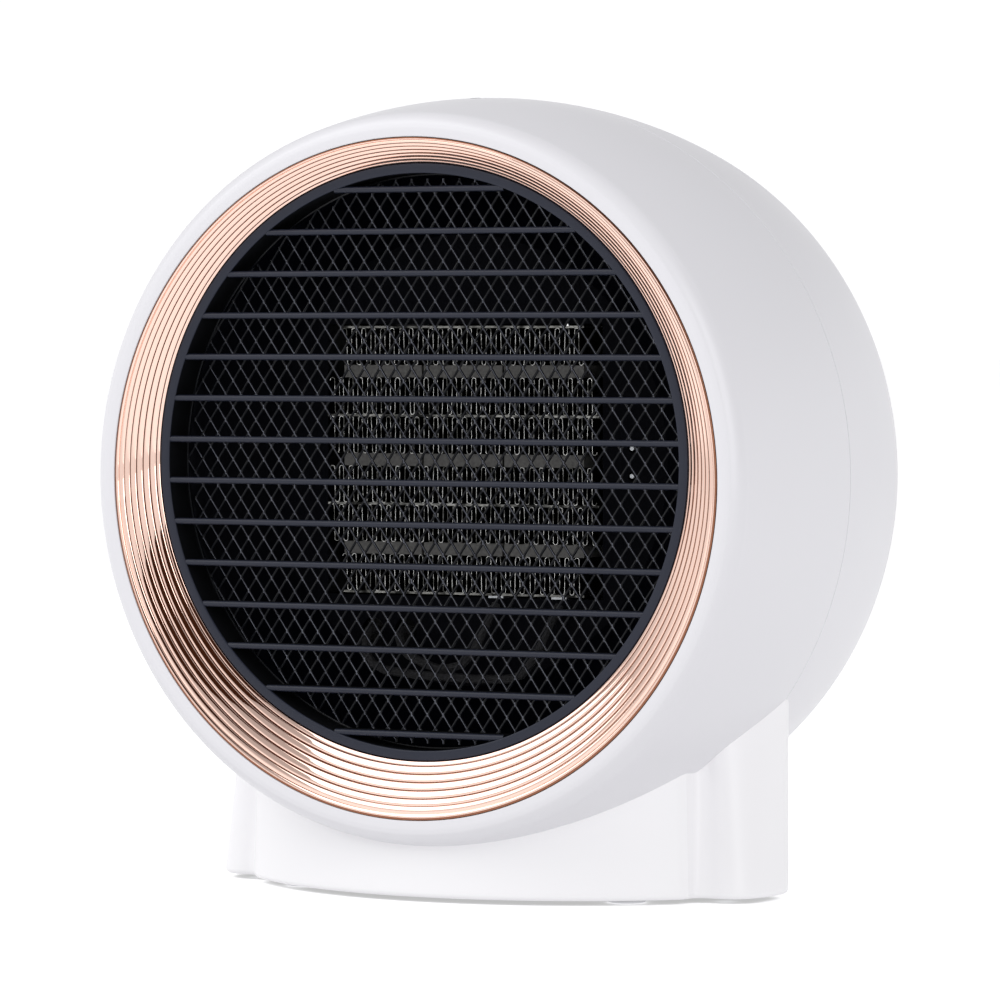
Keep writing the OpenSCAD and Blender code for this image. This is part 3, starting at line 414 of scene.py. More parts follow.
opening = 38
outline = bend(barrel_x, 0, barrel_r, degrees(asin((seam + 0.5) / barrel_r)), rear_turn, 30) \
    + bend(rear_x, rear_y, rear_r, rear_turn, 90, 48)[1:] \
    + [(46, rear_wall), (opening, rear_wall), (opening, rear_wall - wall), (rear_x, rear_wall - wall)] \
    + bend(rear_x, rear_y, rear_r - wall, 90, rear_turn, 16)[1:] \
    + [(barrel_radius(y) - wall, y) for y in (25, 12, seam)] \
    + [(edge_r - deep, seam + short) for deep, short in reversed(joint_edge)]
places, faces = turned(outline, turns=360)
rear_shell = make_piece("shell_rear", places, faces, abs_white)
outlet_low, outlet_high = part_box("front_grille")
outlet_up = (outlet_low.z + outlet_high.z) / 2 / mm - middle_z / mm
gland_z = ((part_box("cord_gland")[0].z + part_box("cord_gland")[1].z) / 2 - middle_z) / mm
intake_mouth = (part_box("rear_grille")[1].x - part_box("rear_grille")[0].x) / 2 / mm - 2.5
well_out = ((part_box("shell_screws")[1].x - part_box("shell_screws")[0].x) / 2 / mm - 2.8) / cos(radians(45))
mouth, well_r, well_floor = 0.5, 3.7, 10
plugs = [back_plug(0, outlet_up, intake_mouth + 0.15, rear_wall - 12, mouth, 180)]
for x, z in circle(0, 0, well_out, 8)[1::2]:
    plugs.append(back_plug(x, z, well_r, well_floor, mouth, 48))
bush_hole, bush_seat, seat_y = 5.55, 9, rear_wall - 0.4
plugs.append([[(x, y, z) for x, z in circle(0, gland_z, r, 64)]
              for r, y in ((bush_hole, 50), (bush_hole, seat_y), (bush_seat, seat_y),
                           (bush_seat, rear_wall + 4))])
button_y = ((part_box("control_button")[0].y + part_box("control_button")[1].y) / 2 - middle_y) / mm
button_r = 14.0
plugs.append(down_plug(0, button_y, button_r + 0.25, 12, 0.45, 128))
cut_away(rear_shell, plugs)
true_skin(rear_shell)
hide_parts("rear_shell")

# ---- Trim ring ----
# The ribbed ring round the outlet, moulded in ABS and then plated: copper, nickel and a rose-gold
# top layer polished to a mirror. Its inner edge is set back and raised, so the ribs are wide at
# the bottom and tight at the top. Six V grooves part the ribs from each other and from the band.
rose_gold, tree, shader, places = new_finish("rose_gold_plating_polished")
shader.inputs["Base Color"].default_value = linear("#f0cfc0")
shader.inputs["Metallic"].default_value = 1.0
cloudy_gloss(tree, shader, places, 160.0, 4.0, 0.025, 0.05)
ripple = add(tree, "ShaderNodeTexNoise", {}, {"Vector": places, "Scale": 260.0, "Detail": 1.0})
bumps = add(tree, "ShaderNodeBump", {}, {"Height": ripple.outputs["Fac"], "Strength": 0.05,
                                       "Distance": 0.2 * mm})
tree.links.new(bumps.outputs["Normal"], shader.inputs["Normal"])

grille_flange = 4.7
inner_r = (outlet_high.x - outlet_low.x) / 2 / mm - grille_flange
front_y, inner_y = (ring_low.y - middle_y) / mm, (outlet_low.y - middle_y) / mm
# Across the ring from 0 inside to 1 outside: the grooves, then a band of two round beads.
grooves = [0.0, 0.08, 0.22, 0.36, 0.50, 0.64, 0.77]
band_start, bead_share, bead_lift, rib_lift = grooves[-1], 0.55, 0.26, 0.16
rib_steps, band_steps = 14, 20
marks = []
for a, b in zip(grooves[:-1], grooves[1:]):
    for i in range(rib_steps):
        t = i / rib_steps
        marks.append((a + (b - a) * t, 1 - abs(2 * t - 1) ** 4, b - a))
for i in range(band_steps + 1):
    t = i / band_steps
    half = t / bead_share if t <= bead_share else (t - bead_share) / (1 - bead_share)
    swell = (1 - (2 * half - 1) ** 2) ** 0.8
    marks.append((band_start + (1 - band_start) * t, None, bead_lift * swell + 0.05))
turns = 540
around = np.arange(turns) * tau / turns
grid = np.zeros((turns, len(marks), 3))
lift = np.zeros((turns, len(marks)))
for j, (s, rib, extra) in enumerate(marks):
    r = inner_r + (ring_outer - inner_r) * s
    up = outlet_up * (1 - s)
    grid[:, j, 0] = r * np.cos(around)
    grid[:, j, 2] = up + r * np.sin(around)
    grid[:, j, 1] = inner_y + 0.25 + (front_y + 0.55 - inner_y) * (1 - (1 - s) ** 1.3)
    local = (ring_outer - inner_r) - outlet_up * np.sin(around)
    if rib is not None:
        lift[:, j] = rib_lift * rib * local * extra
    else:
        lift[:, j] = extra
across = np.gradient(grid, axis=1)
along = np.roll(grid, -1, axis=0) - np.roll(grid, 1, axis=0)
out = np.cross(along, across)
out /= np.linalg.norm(out, axis=2, keepdims=True)
out *= np.where(out[:, :, 1:2] > 0, -1, 1)
grid += out * lift[:, :, None]
edge = []
for t in range(turns):
    c, s = cos(around[t]), sin(around[t])
    row = [(inner_r * c, inner_y + 3.0, outlet_up + inner_r * s),
           (inner_r * c, inner_y + 0.6, outlet_up + inner_r * s)]
    row += [tuple(p) for p in grid[t]]
    row += [(ring_outer * c, front_y + 0.9, ring_outer * s),
            (ring_outer * c, pocket_floor, ring_outer * s),
            ((ring_outer - 4) * c, pocket_floor, (ring_outer - 4) * s)]
    edge += row
columns = len(marks) + 5
trim_ring = make_piece("ring_rose_gold", edge, rows_to_faces(turns, columns, True, True),
                       rose_gold, crisp=50)
# The grooves and the ring's outer edge get a darker, duller copper-brown copy of the plating: painted shade
# for the light the V grooves and the gap round the ring hold back.
painted_groove_shade, tree, shader, places = new_finish("rose_gold_plating_with_painted_shade")
shader.inputs["Base Color"].default_value = linear("#8d5f4a")
shader.inputs["Metallic"].default_value = 1.0
cloudy_gloss(tree, shader, places, 700.0, 3.0, 0.16, 0.26)
trim_ring.data.materials.append(painted_groove_shade)
# The groove columns and the outer edge's last rows take the painted-shade copy.
painted_shade_columns = [j for j in range(len(marks) - 1)
             if marks[j][1] is not None and marks[j][1] + (marks[j + 1][1] or 0) < 1.1]
painted_shade_columns += list(range(len(marks) - 4, len(marks) + 1))
for face in trim_ring.data.polygons:
    if face.index % columns - 2 in painted_shade_columns:
        face.material_index = 1
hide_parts("trim_ring")

# ---- Outlet grille ----
# One moulding in heat-resistant black nylon: a rim and fourteen level slats, each a thin blade
# with a softly rounded front edge. It sits behind the trim ring and carries the guard.
nylon_black, tree, shader, places = new_finish("moulded_nylon_satin_black")
shader.inputs["Base Color"].default_value = linear("#1f2331")
shader.inputs["Specular IOR Level"].default_value = 0.28
shader.inputs["IOR"].default_value = 1.53
grain = cloudy_gloss(tree, shader, places, 2200.0, 3.0, 0.34, 0.46)
bumps = add(tree, "ShaderNodeBump", {}, {"Height": grain, "Strength": 0.15,
                                       "Distance": 0.1 * mm})
tree.links.new(bumps.outputs["Normal"], shader.inputs["Normal"])

# The faces that run back from the front edges get a darker, less shiny copy of the nylon: painted shade for
# the light that does not reach into the outlet.
nylon_painted_shade, tree, shader, places = new_finish("moulded_nylon_black_painted_shade")
shader.inputs["Base Color"].default_value = linear("#08090c")
shader.inputs["Specular IOR Level"].default_value = 0.15
shader.inputs["Roughness"].default_value = 0.6
tree.links.new(add(tree, "ShaderNodeBump", {}, {
    "Height": add(tree, "ShaderNodeTexNoise", {}, {"Vector": places, "Scale": 1400.0}).outputs["Fac"],
    "Strength": 0.2, "Distance": 0.1 * mm}).outputs["Normal"], shader.inputs["Normal"])

grille_front = inner_y
grille_back = (outlet_high.y - middle_y) / mm
rim_out = inner_r - 0.15
rim_in = rim_out - 2.4
parts, part_faces = turned(rounded_box(rim_in, rim_out, grille_front, grille_back, 0.35), 300, outlet_up)
slat_pitch, slat_t, slat_depth, unshaded_depth = 10.0, 1.5, 6.7, 0.9


def join_on(places, faces, more_places, more_faces):
    """Adds one more closed shape to the places and faces of a piece."""
    faces += [tuple(len(places) + i for i in f) for f in more_faces]
    places += more_places


def slat(z, half, front, back, thick):
    """A blade across the outlet: a round-nosed section drawn from side to side."""
    nose, taper, stations = 0.75, 0.8, 9
    section = [(front + nose - nose * cos(radians(a)), thick / 2 * sin(radians(a)))
               for a in range(-90, 91, 15)]
    section += [(back, thick / 2 * taper), (back, -thick / 2 * taper)]
    rows = []
    for x in np.linspace(-half, half, stations):
        rows += [(x, y, z + up) for y, up in section]
    n = len(section)
    ends = [tuple(range(n)), tuple((stations - 1) * n + k for k in reversed(range(n)))]
    return rows, rows_to_faces(stations, n, False, True) + ends


count = int(rim_in // slat_pitch) + 1
for k in range(-count, count):
    up = (k + 0.5) * slat_pitch
    if abs(up) + slat_t < rim_in:
        half = sqrt(rim_in ** 2 - up * up) + 0.4
        join_on(parts, part_faces, *slat(outlet_up + up, half, grille_front + 0.15,
                                         grille_front + slat_depth, slat_t))
grille = make_piece("grille_black", parts, part_faces, nylon_black)
grille.data.materials.append(nylon_painted_shade)
# Faces more than 0.9 mm behind the grille's front take the painted-shade copy of the nylon.
for face in grille.data.polygons:
    if (face.center.y - middle_y) / mm > grille_front + unshaded_depth:
        face.material_index = 1
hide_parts("front_grille")

# ---- Guard ----
# Expanded steel: a sheet slit and pulled open into diamonds 4.3 mm wide and 6.4 mm high, then
# blackened. Pulling the sheet tips every strand to the right and leaves a knuckle at
# each crossing, so one set of strands catches more light than the other; the ridges of that
# set and of the knuckles are painted a lighter bare metal as a painted highlight.
blackened_steel, tree, shader, places = new_finish("blackened_steel")
shader.inputs["Base Color"].default_value = linear("#101218")
shader.inputs["IOR"].default_value = 1.5
shader.inputs["Specular IOR Level"].default_value = 0.28
grain = cloudy_gloss(tree, shader, places, 3500.0, 2.0, 0.26, 0.40)
bumps = add(tree, "ShaderNodeBump", {}, {"Height": grain, "Strength": 0.3,
                                       "Distance": 0.08 * mm})
tree.links.new(bumps.outputs["Normal"], shader.inputs["Normal"])

diamond_w, diamond_h, strand, sheet, ridge = 4.3, 6.4, 0.60, 0.26, 0.2
guard_y = (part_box("guard_mesh")[0].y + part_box("guard_mesh")[1].y) / 2 / mm - middle_y / mm
facing_up, facing_side = Vector((-0.06, -0.91, 0.41)), Vector((0.41, -0.86, 0.31))
parts, part_faces, painted_highlight_faces = [], [], []


def bar(a, b, width, thick, face, highlighted):
    """A six-sided bar from a to b, its ridge turned to face."""
    # Ridges listed here later take the painted-highlight finish.
    if highlighted:
        painted_highlight_faces.append(len(part_faces) + 1)
    line = (b - a).normalized()
    n = (face - line * face.dot(line)).normalized()
    w = line.cross(n)
    start = len(parts)
    for end in (a, b):
        for i, j in ((1, 0), (ridge, 1), (-ridge, 1), (-1, 0), (-ridge, -1), (ridge, -1)):
            parts.append(tuple(end + w * (i * width / 2) + n * (j * thick / 2)))
    part_faces.extend(rows_to_faces(2, 6, False, True, start))
    part_faces.append(tuple(start + k for k in (5, 4, 3, 2, 1, 0)))
    part_faces.append(tuple(start + k for k in (6, 7, 8, 9, 10, 11)))


def within(place):
    """Whether a place of the guard lies inside the grille's rim."""
    return sqrt(place.x ** 2 + (place.z - outlet_up) ** 2) <= rim_in + 0.3


knuckle = Vector((0, 0, 0.5))
for i in range(-34, 35):
    for j in range(-23, 24):
        knot = Vector((i * diamond_w / 2, guard_y, outlet_up + j * diamond_h / 2))
        if (i + j) % 2 or not within(knot):
            continue
        bar(knot - knuckle, knot + knuckle, strand * 1.25, sheet * 1.3, facing_up, True)
        for side in (-1, 1):
            end = knot + Vector((side * diamond_w / 2, 0, diamond_h / 2))
            if within(end):
                bar(knot, end, strand, sheet, facing_side if side > 0 else facing_up, side < 0)
guard = make_piece("guard_expanded_steel", parts, part_faces, blackened_steel, crisp=25)
# The ridges turned to the light, on the knuckles and on one set of strands, get a lighter bare-metal finish:
# a painted highlight.
painted_highlight_steel, tree, shader, places = new_finish("blackened_steel_ridges_with_painted_highlight")
shader.inputs["Base Color"].default_value = linear("#6c6e77")
shader.inputs["Metallic"].default_value = 1.0
cloudy_gloss(tree, shader, places, 260.0, 2.0, 0.2, 0.6, 0.35, 0.65)
guard.data.materials.append(painted_highlight_steel)
for k in painted_highlight_faces:
    guard.data.polygons[k].material_index = 1
rim_section = rounded_box(rim_in - 0.3, rim_out - 0.2, guard_y - 0.4, guard_y + 0.4, 0.1, 2)
rim_places, rim_faces = turned(rim_section, 200, outlet_up)
guard_rim = make_piece("guard_rim", rim_places, rim_faces, blackened_steel)
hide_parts("guard_mesh")

# ---- Fins of the heating element ----
# Thin aluminium strip folded into hairpin waves and glued to the hot bars, six rows of it. The
# folds are rounded and never quite alike, and only their front edges catch the light.
aluminium, tree, shader, places = new_finish("rolled_aluminium_strip")
shader.inputs["Metallic"].default_value = 1.0
cloud = add(tree, "ShaderNodeTexNoise", {}, {"Vector": places, "Scale": 900.0, "Detail": 3.0})
film = add(tree, "ShaderNodeTexNoise", {}, {"Vector": places, "Scale": 420.0, "Detail": 2.0})
tone = add(tree, "ShaderNodeValToRGB", {}, {"Fac": film.outputs["Fac"]})
tone.color_ramp.elements[0].position, tone.color_ramp.elements[0].color = 0.43, linear("#767672")
tone.color_ramp.elements[1].position, tone.color_ramp.elements[1].color = 0.55, linear("#fafaf7")
tree.links.new(tone.outputs["Color"], shader.inputs["Base Color"])
gloss = add(tree, "ShaderNodeMapRange", {}, {"Value": cloud.outputs["Fac"], "From Min": 0.3,
                                            "From Max": 0.7, "To Min": 0.16, "To Max": 0.36})
tree.links.new(gloss.outputs["Result"], shader.inputs["Roughness"])
rolled = add(tree, "ShaderNodeTexWave", {"bands_direction": "Z"},
             {"Vector": places, "Scale": 900.0, "Distortion": 3.0})
bumps = add(tree, "ShaderNodeBump", {}, {"Height": rolled.outputs["Fac"], "Strength": 0.15,
                                       "Distance": 0.05 * mm})
tree.links.new(bumps.outputs["Normal"], shader.inputs["Normal"])

# Behind their front edges the folds get a near-black, dull copy of the strip: painted shade for the light
# that does not reach into the element.
aluminium_painted_shade, tree, shader, places = new_finish("rolled_aluminium_strip_painted_shade")
shader.inputs["Base Color"].default_value = linear("#1c1b1b")
shader.inputs["Metallic"].default_value = 1.0
cloudy_gloss(tree, shader, places, 500.0, 3.0, 0.55, 0.75)

fins_low, fins_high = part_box("ptc_fins")
fins_y0, fins_y1 = (fins_low.y - middle_y) / mm, (fins_high.y - middle_y) / mm
fin_h, ceramic_t, plate_t, strip, full_waves, uneven = 9.0, 3.0, 0.5, 0.10, 28, 0.09
unshaded_edge = 0.5
element_low = (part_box("ptc_plates")[0].z - middle_z) / mm
element_w = (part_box("ptc_plates")[1].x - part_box("ptc_plates")[0].x) / mm
dice = random.Random(7)
parts, part_faces = [], []
for row in range(6):
    outer_row = row in (0, 5)
    width = element_w - (8 if outer_row else 1)
    waves = round(full_waves * width / (element_w - 1))
    pitch = width / waves
    mid = element_low + plate_t + fin_h / 2 + row * fin_h + ceil(row / 2) * ceramic_t + (row // 2) * plate_t
    bow, half = 0.60, fin_h / 2 - strip / 2
    line = []
    for w in range(waves):
        x = -width / 2 + (w + 0.25) * pitch + dice.uniform(-uneven, uneven)
        swell = bow * dice.uniform(0.85, 1.1)
        for a in range(190, -11, -25):
            line.append((x + swell * cos(radians(a)), mid + half - swell + swell * sin(radians(a))))
        x += pitch / 2 + dice.uniform(-uneven, uneven)
        for a in range(170, 371, 25):
            line.append((x + swell * cos(radians(a)), mid - half + swell + swell * sin(radians(a))))
    line = [(x, z) for x, z in line if abs(x) < width / 2]
    start = len(parts)
    for i, (x, z) in enumerate(line):
        ax, az = line[max(i - 1, 0)]
        bx, bz = line[min(i + 1, len(line) - 1)]
        size = max(sqrt((bx - ax) ** 2 + (bz - az) ** 2), 1e-6)
        nx, nz = -(bz - az) / size * strip / 2, (bx - ax) / size * strip / 2
        edge_y = fins_y0 + unshaded_edge
        parts += [(x + nx, fins_y0, z + nz), (x - nx, fins_y0, z - nz), (x - nx, edge_y, z - nz),
                  (x - nx, fins_y1, z - nz), (x + nx, fins_y1, z + nz), (x + nx, edge_y, z + nz)]
    part_faces += rows_to_faces(len(line), 6, False, True, start)
    part_faces += [tuple(start + k for k in range(6)),
                   tuple(start + (len(line) - 1) * 6 + k for k in reversed(range(6)))]
fins = make_piece("fins_folded_strip", parts, part_faces, aluminium, crisp=40)
fins.data.materials.append(aluminium_painted_shade)
# Faces behind the front half-millimetre of the folds take the painted-shade copy.
for face in fins.data.polygons:
    if (face.center.y - middle_y) / mm > fins_y0 + unshaded_edge + 0.1:
        face.material_index = 1
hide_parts("ptc_fins")

# ---- Hot bars, plates and terminals ----
# The ceramic bars are fired barium titanate, dull and slightly warm grey. Thin aluminium plates
# lie between the rows, and tinned steel tabs bring the supply in from below.
fired_grey, tree, shader, places = new_finish("fired_ceramic_grey")
shader.inputs["IOR"].default_value = 1.6
specks = add(tree, "ShaderNodeTexNoise", {}, {"Vector": places, "Scale": 1300.0, "Detail": 4.0})
tone = add(tree, "ShaderNodeValToRGB", {}, {"Fac": specks.outputs["Fac"]})
tone.color_ramp.elements[0].position, tone.color_ramp.elements[0].color = 0.3, linear("#504f4d")
tone.color_ramp.elements[1].position, tone.color_ramp.elements[1].color = 0.7, linear("#6b6a68")
tree.links.new(tone.outputs["Color"], shader.inputs["Base Color"])
shader.inputs["Roughness"].default_value = 0.55
bumps = add(tree, "ShaderNodeBump", {}, {"Height": specks.outputs["Fac"], "Strength": 0.3,
                                       "Distance": 0.1 * mm})
tree.links.new(bumps.outputs["Normal"], shader.inputs["Normal"])


def coat(node, finish):
    """Gives a node of the CAD model its finish."""
    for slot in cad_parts[node].material_slots:
        slot.material = finish


coat("ptc_ceramics", fired_grey)

# The plates are the same strip left soft and dull, and only patches of their edges shine.
plate_metal, tree, shader, places = new_finish("rolled_aluminium_plate_dull")
shader.inputs["Metallic"].default_value = 1.0
film = add(tree, "ShaderNodeTexNoise", {}, {"Vector": places, "Scale": 300.0, "Detail": 3.0})
tone = add(tree, "ShaderNodeValToRGB", {}, {"Fac": film.outputs["Fac"]})
tone.color_ramp.elements[0].position, tone.color_ramp.elements[0].color = 0.40, linear("#2c2c2b")
tone.color_ramp.elements[1].position, tone.color_ramp.elements[1].color = 0.66, linear("#a4a4a0")
tree.links.new(tone.outputs["Color"], shader.inputs["Base Color"])
gloss = add(tree, "ShaderNodeMapRange", {}, {"Value": film.outputs["Fac"], "From Min": 0.3,
                                            "From Max": 0.7, "To Min": 0.5, "To Max": 0.3})
tree.links.new(gloss.outputs["Result"], shader.inputs["Roughness"])
coat("ptc_plates", plate_metal)

# Zinc-plated steel: a cool grey metal whose gloss is broken by a fine spangle.
zinc_steel, tree, shader, places = new_finish("zinc_plated_steel")
shader.inputs["Base Color"].default_value = linear("#c9ccd0")
shader.inputs["Metallic"].default_value = 1.0
spangle = add(tree, "ShaderNodeTexVoronoi", {}, {"Vector": places, "Scale": 700.0})
gloss = add(tree, "ShaderNodeMapRange", {}, {"Value": spangle.outputs["Distance"], "From Min": 0.0,
                                            "From Max": 0.8, "To Min": 0.22, "To Max": 0.42})
tree.links.new(gloss.outputs["Result"], shader.inputs["Roughness"])
bumps = add(tree, "ShaderNodeBump", {}, {"Height": spangle.outputs["Distance"], "Strength": 0.1,
                                       "Distance": 0.05 * mm})
tree.links.new(bumps.outputs["Normal"], shader.inputs["Normal"])
tip_low, tip_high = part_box("thermostat_screws")
rivet_x, rivet_y, rivet_r = (tip_low.x + tip_high.x) / 2 / mm, (tip_low.y - middle_y) / mm, 0.62
head_r, turning_gap = 1.8, 0.01
parts, part_faces = [], []
dome = [(turning_gap, rivet_y + 1.2), (rivet_r, rivet_y + 1.2)] \
    + bend(rivet_r - 0.15, rivet_y + 0.35, 0.15, 0, -90, 4) + [(turning_gap, rivet_y + 0.17)]
for z in (tip_low.z + head_r * mm, tip_high.z - head_r * mm):
    join_on(parts, part_faces, *turned(dome, 24, (z - middle_z) / mm, rivet_x))
rivets = make_piece("thermostat_rivets", parts, part_faces, zinc_steel)
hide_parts("thermostat_screws")
for node in ("ptc_terminals", "motor_can", "motor_shaft", "motor_screws",
             "duct_screws", "funnel_screws", "shell_screws", "stand_screws", "plate_screws",
             "board_screws"):
    coat(node, zinc_steel)

# ---- Funnel, frame and duct ----
# Glass-filled polyester mouldings that take the heat: the funnel behind the guard, the frame
# that holds the element, the air duct and the motor bracket. Dull black, with a sanded grain.
polyester_black, tree, shader, places = new_finish("glass_filled_polyester_black")
shader.inputs["Base Color"].default_value = linear("#02030a")
shader.inputs["Specular IOR Level"].default_value = 0.05
grain = cloudy_gloss(tree, shader, places, 1100.0, 5.0, 0.48, 0.62)
bumps = add(tree, "ShaderNodeBump", {}, {"Height": grain, "Strength": 0.25,
                                       "Distance": 0.1 * mm})
tree.links.new(bumps.outputs["Normal"], shader.inputs["Normal"])
for node in ("outlet_funnel", "ptc_frame", "air_duct", "motor_bracket", "thermostat", "tact_switch",
             "tip_switch", "base_plate"):
    coat(node, polyester_black)

# ---- Stand ----
# A deep moulded foot in the same white ABS: a bowed panel front and rear and a round-ended wing
# at each side, with a soft valley between them. Its walls lean in a little so that it leaves the
# mould, its lower edge is rounded, and its top follows the barrel it is screwed to.

# The same ABS as the shells, a little duller. Its colour is painted a shade lighter than theirs: painted
# light for the brighter light that falls on the stand.
stand_abs_painted_lighter = satin_abs("moulded_ABS_satin_white_stand_painted_light", "#f8f7f9", 0.36, 0.42)

stand_low, stand_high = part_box("base_stand")
foot_z = (stand_low.z - middle_z) / mm
panel_half, panel_reach, panel_corner = 59.5, (stand_high.y - stand_low.y) / 2 / mm, 18.0
wing_half, wing_depth, wing_r = (stand_high.x - stand_low.x) / 2 / mm, 12.0, 8.0
panel_r = (panel_half ** 2 + (panel_reach - panel_corner) ** 2) / (2 * (panel_reach - panel_corner))
panel_cy = panel_r - panel_reach


def evenly(line, count):
    """A line through its places, softened by cutting corners, as count even steps."""
    line = np.array(line, float)
    for _ in range(3):
        cut = [line[0]]
        for a, b in zip(line[:-1], line[1:]):
            cut += [a * 0.75 + b * 0.25, a * 0.25 + b * 0.75]
        line = np.array(cut + [line[-1]])
    far = np.concatenate([[0], np.cumsum(np.linalg.norm(np.diff(line, axis=0), axis=1))])
    steps = np.linspace(0, far[-1], count)
    return np.stack([np.interp(steps, far, line[:, k]) for k in (0, 1)], axis=1)


corner_r = 3.0
corner_x = panel_half - corner_r
corner_y = panel_cy - sqrt((panel_r - corner_r) ** 2 - corner_x ** 2)
turn = degrees(atan2(corner_y - panel_cy, corner_x))
panel_line = bend(0, panel_cy, panel_r, -90, turn, 40) \
    + bend(corner_x + corner_r - 0.7, corner_y - 0.3, 0.7, turn, 0, 6)
wing_back = bend(panel_half + 3.5, -wing_depth - 3.5, 3.5, 180, 90, 10) \
    + bend(wing_half - wing_r, wing_r - wing_depth, wing_r, -90, 0, 14)
w = wing_half
# The valley and the wing's front, at the foot and 40 mm up, from the panel's corner outwards.
wing_foot = evenly([(w - 15.4, -16.0), (w - 15.3, -14.4), (w - 12.2, -13.2), (w - 8.6, -13.6),
                    (w - 5, -12.6), (w - 2.2, -9.4), (w - 0.6, -5), (w, 0), (w, 4)], 40)
wing_top = evenly([(w - 16.5, -13.6), (w - 16.3, -11.4), (w - 14, -10.5), (w - 11.2, -10.6),
                   (w - 8.4, -8.9), (w - 5.4, -5.6), (w - 3.2, -2.4), (w - 1.4, 0.8),
                   (w - 0.2, 3.2), (w, 4)], 40)


def whole_outline(wing_front, pull):
    """The stand's outline seen from above, its panels and rear drawn in by pull."""
    front = [(x * pull, y * pull) for x, y in panel_line]
    rear = [(x * pull, -y * pull) for x, y in panel_line] + [(x, -y) for x, y in wing_back]
    right = front + [tuple(p) for p in wing_front] + rear[::-1]
    return np.array(right + [(-x, y) for x, y in right[-2:0:-1]])


draft, draft_height = 0.981, 40
at_foot, at_forty = whole_outline(wing_foot, 1.0), whole_outline(wing_top, draft)


def stand_ring(up, inset=0.0):
    """The outline at each of its places' own height up, moved in by inset."""
    h = ((np.asarray(up) - foot_z) / draft_height).reshape(-1, 1)
    ring = at_foot * (1 - h) + at_forty * h
    if inset:
        side = np.roll(ring, -1, axis=0) - np.roll(ring, 1, axis=0)
        side = side[:, ::-1] * (-1, 1)
        ring = ring + inset * side / np.maximum(np.linalg.norm(side, axis=1, keepdims=True), 1e-9)
    return ring


outline_count = len(at_foot)
places, edge = [], 1.4
levels = [(0.3, 2.4)] + [(edge * (1 - cos(radians(18 * i))), edge * (1 - sin(radians(18 * i))))
                         for i in range(6)]
for up, inset in levels:
    places += [(x, y, foot_z + up) for x, y in stand_ring([foot_z + up] * outline_count, inset)]
# Where each place of the outline meets the barrel, found by drawing nearer from a first guess.
meet = np.full(outline_count, -55.0)
for _ in range(12):
    ring = stand_ring(meet)
    meet = np.array([-sqrt(max(barrel_radius(y) ** 2 - x * x, 100)) for x, y in ring])
top_steps, under_barrel = 16, 0.6
for k in range(1, top_steps + 1):
    up = foot_z + edge + (meet + under_barrel - foot_z - edge) * k / top_steps
    places += [(x, y, z) for (x, y), z in zip(stand_ring(up), up)]
rows = len(levels) + top_steps
stand = make_piece("stand_white", places, rows_to_faces(rows, outline_count, False, True), stand_abs_painted_lighter,
                   crisp=60)
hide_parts("base_stand")

# ---- Feet, plunger and cord bush ----
# Four soft feet pressed into the base plate, the acetal plunger of the tip-over switch, and the
# bush in the rear wall that the supply cord is led through.
soft_rubber, tree, shader, places = new_finish("moulded_silicone_rubber_grey")
shader.inputs["Base Color"].default_value = linear("#dddde0")
dust = cloudy_gloss(tree, shader, places, 1600.0, 4.0, 0.62, 0.8)
bumps = add(tree, "ShaderNodeBump", {}, {"Height": dust, "Strength": 0.3,
                                       "Distance": 0.1 * mm})
tree.links.new(bumps.outputs["Normal"], shader.inputs["Normal"])
coat("rubber_feet", soft_rubber)

gland_low, gland_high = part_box("cord_gland")
g0, g1 = (gland_low.y - middle_y) / mm, (gland_high.y - middle_y) / mm
cord_hole, neck, collar, collar_t, collar_edge = 3.3, 5.4, 7.5, 2.5, 0.7
outline = [(cord_hole, g0), (neck, g0), (neck, g1 - collar_t), (collar - 0.1, g1 - collar_t)] \
    + bend(collar - collar_edge, g1 - collar_edge, collar_edge, 0, 90, 5) \
    + bend(cord_hole + collar_edge, g1 - collar_edge, collar_edge, 90, 180, 5)
places, faces = turned(outline, 64, gland_z)
gland = make_piece("cord_bush", places, faces, nylon_black)
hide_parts("cord_gland")

# Acetal, uncoloured: milky white, and light goes a little way into it.
acetal, tree, shader, places = new_finish("moulded_acetal_natural")
shader.inputs["Base Color"].default_value = linear("#e2e0d8")
shader.inputs["Subsurface Weight"].default_value = 0.2
shader.inputs["Subsurface Scale"].default_value = 0.001
cloudy_gloss(tree, shader, places, 1200.0, 2.0, 0.3, 0.42)
for node in ("tip_plunger", "indicator_led"):
    coat(node, acetal)

# ---- Indicator window ----
# A small round plug of smoked polycarbonate over the indicator lamp, pressed in from below until
# its slightly domed, fine-ground face is flush with the barrel.
smoked_window, tree, shader, places = new_finish("moulded_polycarbonate_smoked")
shader.inputs["Base Color"].default_value = linear("#3c3f4c")
shader.inputs["IOR"].default_value = 1.58
shader.inputs["Specular IOR Level"].default_value = 0.1
cloudy_gloss(tree, shader, places, 800.0, 2.0, 0.45, 0.6)

window_r = window_hole - 0.05


def cap_on_barrel(middle, profile, turns):
    """A round cap that follows the barrel, from its (radius, depth under the skin) profile."""
    places = []
    for r, drop in profile:
        places += [(px, py, sqrt(barrel_radius(py) ** 2 - px * px) - drop)
                   for px, py in circle(0, middle, r, turns)]
    top = (len(profile) - 1) * turns
    ends = [tuple(top + k for k in range(turns)), tuple(reversed(range(turns)))]
    return places, rows_to_faces(len(profile), turns, False, True) + ends


profile = [(window_r, 2.5), (window_r, 0.12), (window_r - 0.04, 0.03), (window_r - 0.14, 0.0),
           (window_r * 0.6, -0.03), (0.05, -0.04)]
window = make_piece("indicator_window", *cap_on_barrel(window_y, profile, 48), smoked_window)
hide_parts("indicator_lens")

